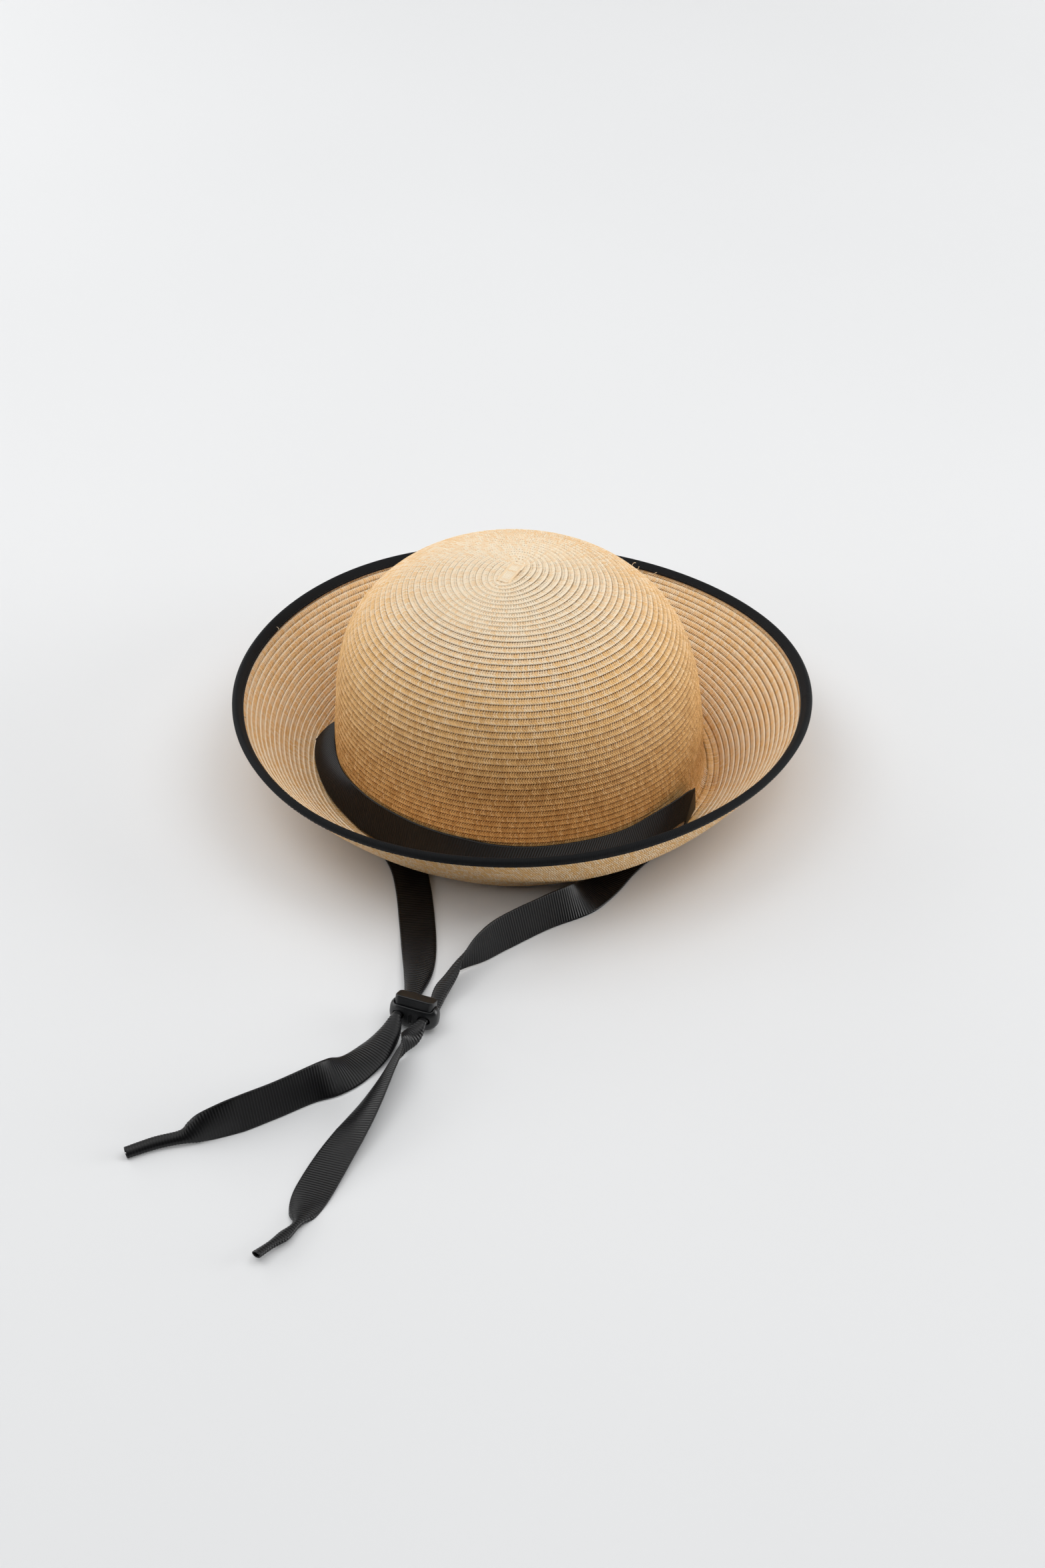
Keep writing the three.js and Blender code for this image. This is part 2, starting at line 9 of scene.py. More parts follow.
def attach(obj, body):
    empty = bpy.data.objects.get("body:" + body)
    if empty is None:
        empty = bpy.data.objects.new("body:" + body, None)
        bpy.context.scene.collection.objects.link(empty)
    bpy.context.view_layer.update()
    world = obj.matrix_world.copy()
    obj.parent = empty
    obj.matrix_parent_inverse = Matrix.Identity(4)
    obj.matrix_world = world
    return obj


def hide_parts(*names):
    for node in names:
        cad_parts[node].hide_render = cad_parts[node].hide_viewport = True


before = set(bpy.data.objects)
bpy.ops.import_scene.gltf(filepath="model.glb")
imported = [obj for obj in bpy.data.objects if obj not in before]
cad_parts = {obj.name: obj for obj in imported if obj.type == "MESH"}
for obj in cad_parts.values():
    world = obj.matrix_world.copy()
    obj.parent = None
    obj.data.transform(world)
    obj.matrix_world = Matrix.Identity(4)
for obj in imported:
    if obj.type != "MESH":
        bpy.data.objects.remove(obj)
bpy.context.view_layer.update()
scene = bpy.context.scene
scene.view_settings.view_transform = "Standard"

# Camera: it stands in front of the hat, about 1.2 m away and 0.9 m up, and looks down on it with a
# short telephoto lens.
camera = bpy.data.objects.new("camera", bpy.data.cameras.new("camera"))
camera.data.lens = 64.3
camera.location = (-0.0005, -1.2145, 0.9055)
aim = Vector((-0.0005, -0.0205, -0.0041)) - camera.location
camera.rotation_euler = aim.to_track_quat("-Z", "Y").to_euler()
scene.collection.objects.link(camera)
scene.camera = camera

# Chin strap: two free runs of black grosgrain ribbon, 18 mm wide and woven with a rib every 1.4 mm.
# Each comes out under the brim, is gathered through one hole of the lock and ends in a folded tip.
# Rows are x, y, z, width and roll about the run in degrees, with the lock's rows between the two lists.
MM = 0.001
UP = np.array([0.0, 0.0, 1.0])
LOCK_PLACE = np.array([-52.0, -216.0, 7.71])
LOCK_YAW = math.radians(-22)
LOCK_LEAN = math.radians(-19)
LOCK_TURN = np.array(Matrix.Rotation(LOCK_YAW, 3, "Z") @ Matrix.Rotation(LOCK_LEAN, 3, "X"))
HOLE_X = 6.5
HOLE_Z = -1.0
BUNDLE_WIDTH = 4.6
RIBBON_WIDTH = 18.0
RIBBON_THICK = 0.55
RIB_PITCH = 1.4
RIB_DEPTH = 0.14
ROWS_PER_RIB = 5
CLOTH_POINTS = 21
CURL_FLATNESS = 0.45
CURL_LIMIT = 0.97
CURL_SWITCH = 3
FLAT_LIFT = 0.45
CURL_LIFT = 1.4
CURL_NARROWING = 6.0
RIB_FULL_WIDTH = 13.0
RIB_LEAST_SHARE = 0.4
SELVEDGE_LINE = 8.0
SELVEDGE_HALF = 0.22
PATCHES_PER_METRE = 90
LEFT_RUN = [
    (-106, -4, 0.6, 17, 0), (-101, -19, 0.6, 18, 0), (-91, -37, 0.6, 18, 0),
    (-79, -57, 0.6, 18, 0), (-68, -77, 0.6, 18, 0), (-60, -95, 0.65, 18, 0),
    (-56, -115, 0.7, 18, 0), (-53.2, -142, 0.9, 18, 0), (-51.6, -165, 2.2, 17, -5),
    (-51.4, -181, 3.8, 14, -8), (-53, -195, 4.4, 9, -5),
]
LEFT_TAIL = [
    (-63.5, -227.5, 6.2, 10, -4), (-70.2, -238.5, 4.2, 15, -5), (-79.3, -250, 3.8, 17, -16),
    (-88, -259.5, 6.8, 18, -43), (-98, -267, 8.8, 18, -66), (-114, -277.5, 8.9, 18, -70),
    (-130.5, -287, 8.8, 18, -70), (-143.5, -293, 7.5, 15, -68), (-150.5, -295.4, 5.7, 10.5, -60),
    (-156, -296.8, 4.2, 6, -50), (-168, -300, 3.4, 5.4, -45), (-180.5, -306, 3.2, 5, -45),
]
RIGHT_RUN = [
    (88, -61, 0.6, 17, 0), (73, -73, 0.6, 18, 0), (59, -85, 0.6, 18, 0), (49, -98, 0.6, 18, 0),
    (42, -110, 1.1, 18, -3), (35, -120.5, 3, 18, -16), (26, -132.5, 7.6, 18, -55),
    (11, -143.5, 9, 18, -70), (-9, -158.5, 9, 18, -70), (-21, -171, 9.4, 17, -82),
    (-32, -181.5, 9, 13, -112), (-36.4, -190, 7.8, 10, -140), (-39.8, -198, 6.4, 8, -165),
]
RIGHT_TAIL = [
    (-52, -231.5, 7.6, 8, -215), (-56, -238, 7.4, 10, -260), (-59.7, -245, 7, 13, -292),
    (-64.8, -259.6, 7.7, 16, -306), (-71.1, -275.6, 6.1, 17, -322), (-78.2, -291.9, 4.2, 18, -338),
    (-85.2, -306.7, 2.5, 18, -350), (-91.2, -320.9, 1.4, 18, -356), (-95.6, -332.3, 1.1, 17, -358),
    (-98.3, -341.8, 1.6, 12, -360), (-100.3, -349.4, 2.2, 3.6, -360), (-105.2, -357, 3, 5.4, -360),
    (-111, -363.6, 3.8, 3.8, -352), (-116.4, -369.6, 4.6, 4.8, -345),
]


def smooth(table, at, closed=False):
    """A table's rows read at fractional places, on a smooth curve through them."""
    table = np.asarray(table, float)
    at = np.asarray(at, float)
    count = len(table)
    i = np.floor(at).astype(int)
    if not closed:
        i = np.clip(i, 0, count - 2)
    t = (at - i)[..., None]
    places = [i + step for step in (-1, 0, 1, 2)]
    wrapped = [k % count if closed else np.clip(k, 0, count - 1) for k in places]
    before, start, end, after = (table[k] for k in wrapped)
    bend = 2 * before - 5 * start + 4 * end - after
    twist = 3 * (start - end) + after - before
    return start + 0.5 * t * (end - before + t * (bend + t * twist))


def unit(vectors):
    return vectors / np.linalg.norm(vectors, axis=-1, keepdims=True)


def lengths(points):
    """Length along a line of points, at each of them."""
    steps = np.linalg.norm(np.diff(points, axis=0), axis=1)
    return np.concatenate([[0.0], np.cumsum(steps)])


def linear(code):
    """An sRGB hex value as a linear colour."""
    parts = [int(code[i:i + 2], 16) / 255 for i in (0, 2, 4)]
    return (*(c / 12.92 if c <= 0.04045 else ((c + 0.055) / 1.055) ** 2.4 for c in parts), 1.0)


MATH = "ShaderNodeMath"


def add(tree, kind, settings=None, links=None):
    """Adds a node. Its settings come by name or are the name of its operation. Its inputs come by name
    or in order, as values, or as sockets or nodes to link."""
    node = tree.nodes.new(kind)
    if isinstance(settings, str):
        settings = {"operation": settings}
    if isinstance(links, list):
        links = dict(enumerate(links))
    for name, value in (settings or {}).items():
        setattr(node, name, value)
    for name, value in (links or {}).items():
        if isinstance(value, bpy.types.Node):
            value = value.outputs[0]
        if isinstance(value, bpy.types.NodeSocket):
            tree.links.new(value, node.inputs[name])
        else:
            node.inputs[name].default_value = value
    return node


def new_tree(name, sizes):
    """An empty Geometry Nodes tree with named sizes, and its input node."""
    tree = bpy.data.node_groups.new(name, "GeometryNodeTree")
    tree.interface.new_socket("Geometry", in_out="OUTPUT", socket_type="NodeSocketGeometry")
    tree.interface.new_socket("Geometry", in_out="INPUT", socket_type="NodeSocketGeometry")
    for size in sizes:
        tree.interface.new_socket(size, in_out="INPUT", socket_type="NodeSocketFloat")
    tree.interface.new_socket("Material", in_out="INPUT", socket_type="NodeSocketMaterial")
    return tree, add(tree, "NodeGroupInput").outputs


def close_tree(tree, last, material):
    """Ends a tree: makes what it has grown real and covers it with a material."""
    whole = add(tree, "GeometryNodeRealizeInstances", None, [last])
    covered = add(tree, "GeometryNodeSetMaterial", None, {"Geometry": whole, "Material": material})
    add(tree, "NodeGroupOutput", None, [covered])


def put(name, data):
    """A new object in the scene."""
    made = bpy.data.objects.new(name, data)
    scene.collection.objects.link(made)
    return made


def grow(name, mesh, tree, sizes):
    """Runs a tree on a mesh and keeps the result as a plain object, pressed flat where it stands."""
    made = put(name, mesh)
    modifier = made.modifiers.new(tree.name, "NODES")
    modifier.node_group = tree
    for socket in tree.interface.items_tree:
        if socket.name in sizes:
            modifier[socket.identifier] = sizes[socket.name]
    evaluated = made.evaluated_get(bpy.context.evaluated_depsgraph_get())
    result = bpy.data.meshes.new_from_object(evaluated)
    spots = np.empty(3 * len(result.vertices), np.float32)
    result.vertices.foreach_get("co", spots)
    spots[2::3] = np.maximum(spots[2::3], 0)
    result.vertices.foreach_set("co", spots)
    made.modifiers.clear()
    made.data = result
    return made


def new_material(name, finish):
    """A material's tree with only a shader of the given finish on its output."""
    material = bpy.data.materials.new(name)
    material.use_nodes = True
    tree = material.node_tree
    tree.nodes.clear()
    shader = add(tree, "ShaderNodeBsdfPrincipled", None, finish)
    add(tree, "ShaderNodeOutputMaterial", None, {"Surface": shader.outputs["BSDF"]})
    return material, tree, shader


# Polyester grosgrain, warp-faced over thick weft cords: near-black. Its colour has painted shade in the
# grooves, which stay dark, and a painted highlight on the rib crowns, a soft satin light.
RIBBON_FINISH = {"Roughness": 0.34, "Specular IOR Level": 0.33}
grosgrain, tree, shader = new_material("polyester grosgrain", RIBBON_FINISH)
along = add(tree, "ShaderNodeAttribute", {"attribute_name": "along"}).outputs["Fac"]
across = add(tree, "ShaderNodeAttribute", {"attribute_name": "across"}).outputs["Fac"]
turns = add(tree, MATH, "MULTIPLY", [along, 2 * math.pi / (RIB_PITCH * MM)])
crest = add(tree, MATH, "COSINE", [turns])
cloth = add(tree, "ShaderNodeCombineXYZ", None, {"X": along, "Y": across})
patchy = add(tree, "ShaderNodeTexNoise", None, {"Vector": cloth, "Scale": PATCHES_PER_METRE, "Detail": 3})
# Painted highlight and shade: the colour is lighter on the rib crowns and darker in the grooves, varied by a
# random patchy tone.
tone = add(tree, MATH, "MULTIPLY_ADD", [crest, 0.4, patchy.outputs["Fac"]])
ramp = add(tree, "ShaderNodeValToRGB", None, {"Fac": tone})
for stop, place, code in zip(ramp.color_ramp.elements, (0.1, 0.95), ("030304", "121214")):
    stop.position = place
    stop.color = linear(code)
edge = add(tree, MATH, "ABSOLUTE", [across])
selvedge = add(tree, MATH, "COMPARE", [edge, SELVEDGE_LINE * MM, SELVEDGE_HALF * MM])
bound = {0: selvedge, 6: ramp.outputs["Color"], 7: linear("020202")}
bound = add(tree, "ShaderNodeMix", {"data_type": "RGBA"}, bound)
tree.links.new(bound.outputs[2], shader.inputs["Base Color"])

# The ribs stand out on both faces of the cloth. They fade towards its firm woven edges, and they are
# pressed flatter where it is gathered.
ribs, sizes = new_tree("grosgrain ribs", ["Pitch", "Depth", "Width"])
run, place, spread = (
    add(ribs, "GeometryNodeInputNamedAttribute", {"data_type": "FLOAT"}, {"Name": name}).outputs["Attribute"]
    for name in ("along", "across", "spread")
)
turns = add(ribs, MATH, "DIVIDE", [run, sizes["Pitch"]])
angle = add(ribs, MATH, "MULTIPLY", [turns, 2 * math.pi])
wave = add(ribs, MATH, "COSINE", [angle])
aside = add(ribs, MATH, "ABSOLUTE", [place])
share = add(ribs, MATH, "DIVIDE", [aside, sizes["Width"]])
fade_range = {"Value": share, "From Min": 0.44, "From Max": 0.5, "To Min": 1, "To Max": 0.1}
fade = add(ribs, "ShaderNodeMapRange", None, fade_range)
full = add(ribs, MATH, "MULTIPLY", [wave, sizes["Depth"]])
flat = add(ribs, MATH, "MULTIPLY", [full, spread])
height = add(ribs, MATH, "MULTIPLY", [flat, fade])
normal = add(ribs, "GeometryNodeInputNormal")
offset = add(ribs, "ShaderNodeVectorMath", "SCALE", {0: normal, "Scale": height})
moved = add(ribs, "GeometryNodeSetPosition", None, {"Geometry": sizes["Geometry"], "Offset": offset})
close_tree(ribs, moved, sizes["Material"])


def ribbon(name, middle, side, face, width):
    """A closed ribbon along its middle line, with ribs. Side and face are the cloth's directions.
    Where it is narrower than its cloth it curls, rounded side up, in the end to a flattened tube."""
    v = np.linspace(-1, 1, CLOTH_POINTS)
    angles = np.linspace(0.01, math.pi * CURL_LIMIT, 300)
    spans = RIBBON_WIDTH / angles * np.sin(np.minimum(angles, math.pi / 2))
    curl = np.interp(-width, -spans, angles)[:, None]
    radius = RIBBON_WIDTH / 2 / curl
    span = np.interp(curl, angles, spans)
    depth = CURL_FLATNESS * radius * np.clip(CURL_SWITCH * face[:, 2:], -1, 1)
    x = radius * np.sin(v * curl) * width[:, None] / span
    y = depth * (np.cos(v * curl) - np.sin(curl) / curl)
    along_x = radius * curl * np.cos(v * curl) * width[:, None] / span
    along_y = -depth * curl * np.sin(v * curl)
    half = RIBBON_THICK / 2 / np.hypot(along_x, along_y)
    upper = np.stack([x - along_y * half, y + along_x * half])
    lower = np.stack([x + along_y * half, y - along_x * half])
    x, y = np.concatenate([upper, lower[:, :, ::-1]], 2)
    points = middle[:, None] + x[..., None] * side[:, None] + y[..., None] * face[:, None]
    rows, around = points.shape[:2]
    here = np.arange((rows - 1) * around).reshape(rows - 1, around)
    beside = np.roll(here, -1, axis=1)
    quads = np.stack([here, here + around, beside + around, beside], -1).reshape(-1, 4)
    start = list(range(around))
    end = [(rows - 1) * around + k for k in reversed(range(around))]
    mesh = bpy.data.meshes.new(name)
    mesh.from_pydata((points.reshape(-1, 3) * MM).tolist(), [], quads.tolist() + [start, end])
    mesh.shade_smooth()
    cloth_u = np.repeat(lengths(middle) * MM, around)
    cloth_v = np.tile(np.concatenate([v, v[::-1]]) * RIBBON_WIDTH / 2 * MM, rows)
    open_share = np.repeat(np.clip(width / RIB_FULL_WIDTH, RIB_LEAST_SHARE, 1), around)
    for label, values in (("along", cloth_u), ("across", cloth_v), ("spread", open_share)):
        mesh.attributes.new(label, "FLOAT", "POINT").data.foreach_set("value", values)
    rib_sizes = {"Pitch": RIB_PITCH * MM, "Depth": RIB_DEPTH * MM, "Width": RIBBON_WIDTH * MM}
    return grow(name, mesh, ribs, {**rib_sizes, "Material": grosgrain})


def strap(name, run, hole_x, lock_roll, tail):
    """A free run of ribbon through its rows and the lock's hole."""
    in_lock = [(hole_x, y, HOLE_Z) for y in (7.0, 3.5, 0.0, -3.5, -7.0)]
    lock_rows = [(*(LOCK_PLACE + LOCK_TURN @ np.array(at)), BUNDLE_WIDTH, lock_roll) for at in in_lock]
    table = [*run, *lock_rows, *tail]
    fine = np.linspace(0, len(table) - 1, 40 * len(table))
    length = lengths(smooth(table, fine)[:, :3])
    steps = int(length[-1] / (RIB_PITCH / ROWS_PER_RIB))
    rows = smooth(table, np.interp(np.linspace(0, length[-1], steps), length, fine))
    middle = rows[:, :3]
    width = rows[:, 3]
    heading = unit(np.gradient(middle, axis=0))
    level = unit(np.cross(heading, UP))
    roll = np.radians(rows[:, 4:5])
    side = level * np.cos(roll) + np.cross(heading, level) * np.sin(roll)
    face = np.cross(side, heading)
    clear = FLAT_LIFT + CURL_LIFT * np.clip((RIBBON_WIDTH - width) / CURL_NARROWING, 0, 1)
    lowest = clear * np.abs(face[:, 2]) + width / 2 * np.abs(side[:, 2])
    middle[:, 2] = np.maximum(middle[:, 2], lowest)
    made = ribbon(name, middle, side, face, width)
    return made, middle * MM, lengths(middle)[-1] * MM


strap_left, left_line, left_length = strap("strap_left_ribbon", LEFT_RUN, -HOLE_X, 0, LEFT_TAIL)
strap_right, right_line, right_length = strap("strap_right_ribbon", RIGHT_RUN, HOLE_X, -180, RIGHT_TAIL)
for piece, node in ((strap_left, "strap_left"), (strap_right, "strap_right")):
    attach(piece, "hat")
    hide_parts(node)

# Crown: one wheat straw braid, plaited flat, sewn in a spiral from the tip down with 3.4 mm of each
# round showing. Each round laps over the next, and its lower edge stands out as a smooth lip.
# Rows are height, half width, half depth and sideways shift of the middle of the wall.
HAT_Y = -5.7
CROWN_RINGS = [
    (122.1, 0, 0, -6.6), (119.4, 23.5, 23.5, -6.5), (114, 46, 46, -6.2), (105.6, 65, 65, -5.8),
    (94, 78.5, 78, -5.2), (79.6, 88, 87, -4.5), (62, 93.5, 92.5, -3.6), (45, 95.8, 94, -2.8),
    (28, 97.4, 93.8, -2.4), (16, 97.6, 93.6, -2.1), (9, 98, 95, -1.9), (4.2, 98.8, 97.4, -1.7),
    (1.7, 100, 99.4, -1.7), (1, 101.9, 101.9, -1.7),
]
SEAM_RING = 10
ROW_PITCH = 3.42
STRAND_PITCH = 1.27
PLAIT_MIDDLE = 1.6
CORE_HALF = 7.0
CORE_START = 2.1
CORE_TURN = math.radians(64)
CORE_FADE = 45.0
STEPS_PER_TURN = 150
# Painted light: between these heights the crown's straw is painted paler towards the top, where the light
# falls.
TOP_LIGHT_FROM = 30.0
TOP_LIGHT_SPAN = 90.0
# The braid's section: out from the wall and down across the row, in millimetres.
BRAID_SECTION = [
    (-0.75, -1.1), (-0.05, 0.0), (0.26, 0.55), (0.42, 1.2), (0.42, 1.65), (0.56, 2.1), (0.68, 2.75),
    (0.62, 3.15), (0.36, 3.4), (0.05, 3.3), (-0.45, 1.5), (-1.0, -1.1),
]


def crown_wall(ring, azimuth):
    """Middle of the crown's wall."""
    height, width, depth, shift = smooth(CROWN_RINGS, ring).T
    return np.stack([shift + width * np.cos(azimuth), HAT_Y + depth * np.sin(azimuth), height], -1)


def off_wall(wall, along, azimuth):
    """Direction out of a wall, to its upper or outer side."""
    small = 1e-3
    onward = wall(along + small, azimuth) - wall(along - small, azimuth)
    around = wall(along, azimuth + small) - wall(along, azimuth - small)
    return unit(np.cross(onward, around))


def straw_tones(tree, tint_and_painted_light, paleness_and_painted_light):
    """Straw's colour from golden to pale cream: paler with the tint and with the paleness input, which
    carries painted light.
    """
    varied = add(tree, MATH, "MULTIPLY", [tint_and_painted_light, 0.5])
    pale_share = add(tree, MATH, "MULTIPLY_ADD", [paleness_and_painted_light, 0.6, varied])
    ramp = add(tree, "ShaderNodeValToRGB", None, {"Fac": pale_share})
    ramp.color_ramp.elements[0].color = linear("b07c3e")
    ramp.color_ramp.elements[1].color = linear("f4e4ca")
    ramp.color_ramp.elements.new(0.45).color = linear("e8ba79")
    return ramp.outputs["Color"]


# Wheat straw braid, plaited flat and left undyed: pale gold and slightly waxy. Its two rows of strands meet
# in chevrons, with painted shade in the small gaps between them and a painted dark line of shade under the
# lip above.
STRAW_FINISH = {"Roughness": 0.5, "Specular IOR Level": 0.4}
STREAKS_PER_METRE = 60
CHEVRON_SLOPE = 0.45
straw, tree, shader = new_material("plaited wheat straw", STRAW_FINISH)
along, across, lift, paleness_and_painted_light = (
    add(tree, "ShaderNodeAttribute", {"attribute_name": name}).outputs["Fac"]
    for name in ("along", "across", "lift", "paleness_and_painted_light")
)
strands = add(tree, MATH, "DIVIDE", [along, STRAND_PITCH * MM])
side = add(tree, MATH, "SUBTRACT", [across, PLAIT_MIDDLE * MM])
from_middle = add(tree, MATH, "ABSOLUTE", [side])
phase = add(tree, MATH, "MULTIPLY_ADD", [from_middle, -CHEVRON_SLOPE / MM, strands])
angle = add(tree, MATH, "MULTIPLY", [phase, 2 * math.pi])
crest = add(tree, MATH, "COSINE", [angle])
# Painted shade: the colour is darker in the gaps between the strands.
gap_shade_range = {"Value": crest, "From Min": -0.9, "From Max": -0.2, "To Min": 1, "To Max": 0}
gap_shade = add(tree, "ShaderNodeMapRange", None, gap_shade_range)
single = add(tree, MATH, "ROUND", [phase])
lot = add(tree, "ShaderNodeTexWhiteNoise", {"noise_dimensions": "1D"}, {"W": single}).outputs["Value"]
braid_xy = add(tree, "ShaderNodeCombineXYZ", None, {"X": along, "Y": across})
streaky = {"Vector": braid_xy, "Scale": STREAKS_PER_METRE, "Detail": 4}
streaks = add(tree, "ShaderNodeTexNoise", None, streaky)
mixed = add(tree, MATH, "MULTIPLY_ADD", [lot, 0.5, streaks.outputs["Fac"]])
tint_and_painted_light = add(tree, MATH, "MULTIPLY_ADD", [gap_shade, -0.35, mixed])
# Painted highlight: each round's smooth lower lip is painted paler.
lip_highlight_range = {"Value": across, "From Min": 2.5 * MM, "From Max": 2.8 * MM, "To Min": -0.08, "To Max": 0.55}
lip_highlight = add(tree, "ShaderNodeMapRange", None, lip_highlight_range)
tint_and_painted_light = add(tree, MATH, "ADD", [tint_and_painted_light, lip_highlight])
# Painted light: the paleness input counts fully on the braid's outer surface and at 0.3 on its inner side.
outside = add(tree, MATH, "GREATER_THAN", [lift, -0.42 * MM])
outer_weight = add(tree, "ShaderNodeMapRange", None, {"Value": outside, "To Min": 0.3})
outer_paleness = add(tree, MATH, "MULTIPLY", [paleness_and_painted_light, outer_weight])
colour = straw_tones(tree, tint_and_painted_light, outer_paleness)
# Painted shade: a dark brown line under the lip above, notched by the strand gaps, and dark dots where the
# gaps open in the middle of the plait, on the outer surface only.
notched = add(tree, MATH, "MULTIPLY_ADD", [gap_shade, -0.5 * MM, across])
lap_shade_range = {"Value": notched, "From Min": 0.3 * MM, "From Max": 0.8 * MM, "To Min": 1, "To Max": 0}
lap_shade = add(tree, "ShaderNodeMapRange", None, lap_shade_range)
middle_range = {"Value": from_middle, "From Min": 0.15 * MM, "From Max": 0.4 * MM, "To Min": 1, "To Max": 0}
middle = add(tree, "ShaderNodeMapRange", None, middle_range)
open_gap_shade = add(tree, MATH, "MULTIPLY", [middle, gap_shade])
some = add(tree, MATH, "GREATER_THAN", [lot, 0.55])
dot_shade = add(tree, MATH, "MULTIPLY", [open_gap_shade, some])
dark = add(tree, MATH, "MAXIMUM", [lap_shade, dot_shade])
shade = add(tree, MATH, "MULTIPLY", [dark, outside])
shaded = add(tree, "ShaderNodeMix", {"data_type": "RGBA"}, {0: shade, 6: colour, 7: linear("5c3a16")})
tree.links.new(shaded.outputs[2], shader.inputs["Base Color"])
bump = add(tree, "ShaderNodeBump", None, {"Height": crest, "Distance": 0.00012, "Strength": 0.6})
tree.links.new(bump.outputs["Normal"], shader.inputs["Normal"])

# Single strands of the same straw, where they stand up out of the braid and catch the light. Their colour
# takes a random tone and the paleness input, which on the braid's strands carries painted light.
strand_straw, tree, shader = new_material("plaited wheat straw strand", STRAW_FINISH)
tone, paleness_and_painted_light = (
    add(tree, "ShaderNodeAttribute", {"attribute_name": name}).outputs["Fac"] for name in ("tone", "paleness_and_painted_light")
)
tree.links.new(straw_tones(tree, tone, paleness_and_painted_light), shader.inputs["Base Color"])


def upright_curve(tree, line):
    """A line of points as a curve, with "out" as its upward side."""
    path = add(tree, "GeometryNodeMeshToCurve", None, {"Mesh": line})
    out = add(tree, "GeometryNodeInputNamedAttribute", {"data_type": "FLOAT_VECTOR"}, {"Name": "out"})
    turned = {"Curve": path, "Normal": out.outputs["Attribute"]}
    return add(tree, "GeometryNodeSetCurveNormal", {"mode": "FREE"}, turned)


# A section swept along a path: the mesh holds both.
sewn, sizes = new_tree("section along a path", [])
marked = add(sewn, "GeometryNodeInputNamedAttribute", {"data_type": "BOOLEAN"}, {"Name": "section"})
split = {"Geometry": sizes["Geometry"], "Selection": marked.outputs["Attribute"]}
parts = add(sewn, "GeometryNodeSeparateGeometry", {"domain": "POINT"}, split)
upright = upright_curve(sewn, parts.outputs["Inverted"])
FLOAT_POINTS = {"data_type": "FLOAT", "domain": "POINT"}
length = add(sewn, "GeometryNodeSplineParameter").outputs["Length"]
run = {"Geometry": upright, "Name": "along", "Value": length}
measured = add(sewn, "GeometryNodeStoreNamedAttribute", FLOAT_POINTS, run)
profile = add(sewn, "GeometryNodeMeshToCurve", None, {"Mesh": parts.outputs["Selection"]})
spot = add(sewn, "ShaderNodeSeparateXYZ", None, [add(sewn, "GeometryNodeInputPosition")])
for name, value in (("across", spot.outputs["Y"]), ("lift", spot.outputs["X"])):
    ruled = {"Geometry": profile, "Name": name, "Value": value}
    profile = add(sewn, "GeometryNodeStoreNamedAttribute", FLOAT_POINTS, ruled)
sweep = {"Curve": measured, "Profile Curve": profile, "Fill Caps": True}
swept = add(sewn, "GeometryNodeCurveToMesh", None, sweep)
softened = add(sewn, "GeometryNodeSetShadeSmooth", None, [swept])
close_tree(sewn, softened, sizes["Material"])

# Strands along the same path: slanted three-sided bars, one to each stitch.
strand_inputs = ["Pitch", "Length", "Width", "Height", "Across", "Out", "Tilt", "Slant"]
strewn, sizes = new_tree("slanted strands along a path", strand_inputs)
upright = upright_curve(strewn, sizes["Geometry"])
paced = {"Curve": upright, "Length": sizes["Pitch"]}
spots = add(strewn, "GeometryNodeCurveToPoints", {"mode": "LENGTH"}, paced).outputs
crossed = [spots["Tangent"], spots["Normal"]]
down = add(strewn, "ShaderNodeVectorMath", "CROSS_PRODUCT", crossed)
lowered = add(strewn, "ShaderNodeVectorMath", "SCALE", {0: down, "Scale": sizes["Across"]})
raised = add(strewn, "ShaderNodeVectorMath", "SCALE", {0: spots["Normal"], "Scale": sizes["Out"]})
shift = add(strewn, "ShaderNodeVectorMath", "ADD", [lowered, raised])
placed = add(strewn, "GeometryNodeSetPosition", None, {"Geometry": spots["Points"], "Offset": shift})
chance = add(strewn, "FunctionNodeRandomValue", {"data_type": "FLOAT"}, {2: 0.15, 3: 1.1, "Seed": 11})
toned = {"Geometry": placed, "Name": "tone", "Value": chance.outputs[1]}
toned = add(strewn, "GeometryNodeStoreNamedAttribute", FLOAT_POINTS, toned)
axes = {"primary_axis": "X", "secondary_axis": "Z"}
facing = add(strewn, "FunctionNodeAxesToRotation", axes, crossed)
tilt = add(strewn, "FunctionNodeAxisAngleToRotation", None, {"Axis": (1, 0, 0), "Angle": sizes["Tilt"]})
local = {"rotation_space": "LOCAL"}
tilted = add(strewn, "FunctionNodeRotateRotation", local, [facing, tilt])
uneven = add(strewn, "FunctionNodeRandomValue", {"data_type": "FLOAT"}, {2: -0.18, 3: 0.18, "Seed": 7})
lean = add(strewn, MATH, "ADD", [sizes["Slant"], uneven.outputs[1]])
slant = add(strewn, "FunctionNodeAxisAngleToRotation", None, {"Axis": (0, 0, 1), "Angle": lean})
slanted = add(strewn, "FunctionNodeRotateRotation", local, [tilted, slant])
three_sided = {"Vertices": 3, "Side Segments": 1, "Radius": 1, "Depth": 1}
bar = add(strewn, "GeometryNodeMeshCylinder", {"fill_type": "NGON"}, three_sided)
laid = {"Geometry": bar.outputs["Mesh"], "Rotation": (0, -math.pi / 2, 0)}
strand = add(strewn, "GeometryNodeTransform", None, laid)
plump = add(strewn, "FunctionNodeRandomValue", {"data_type": "FLOAT"}, {2: 0.8, 3: 1.15, "Seed": 3})
girth = add(strewn, MATH, "MULTIPLY", [sizes["Width"], plump.outputs[1]])
scale = {"X": sizes["Length"], "Y": girth, "Z": sizes["Height"]}
scale = add(strewn, "ShaderNodeCombineXYZ", None, scale)
many = {"Points": toned, "Instance": strand, "Rotation": slanted, "Scale": scale}
bars = add(strewn, "GeometryNodeInstanceOnPoints", None, many)
close_tree(strewn, bars, sizes["Material"])


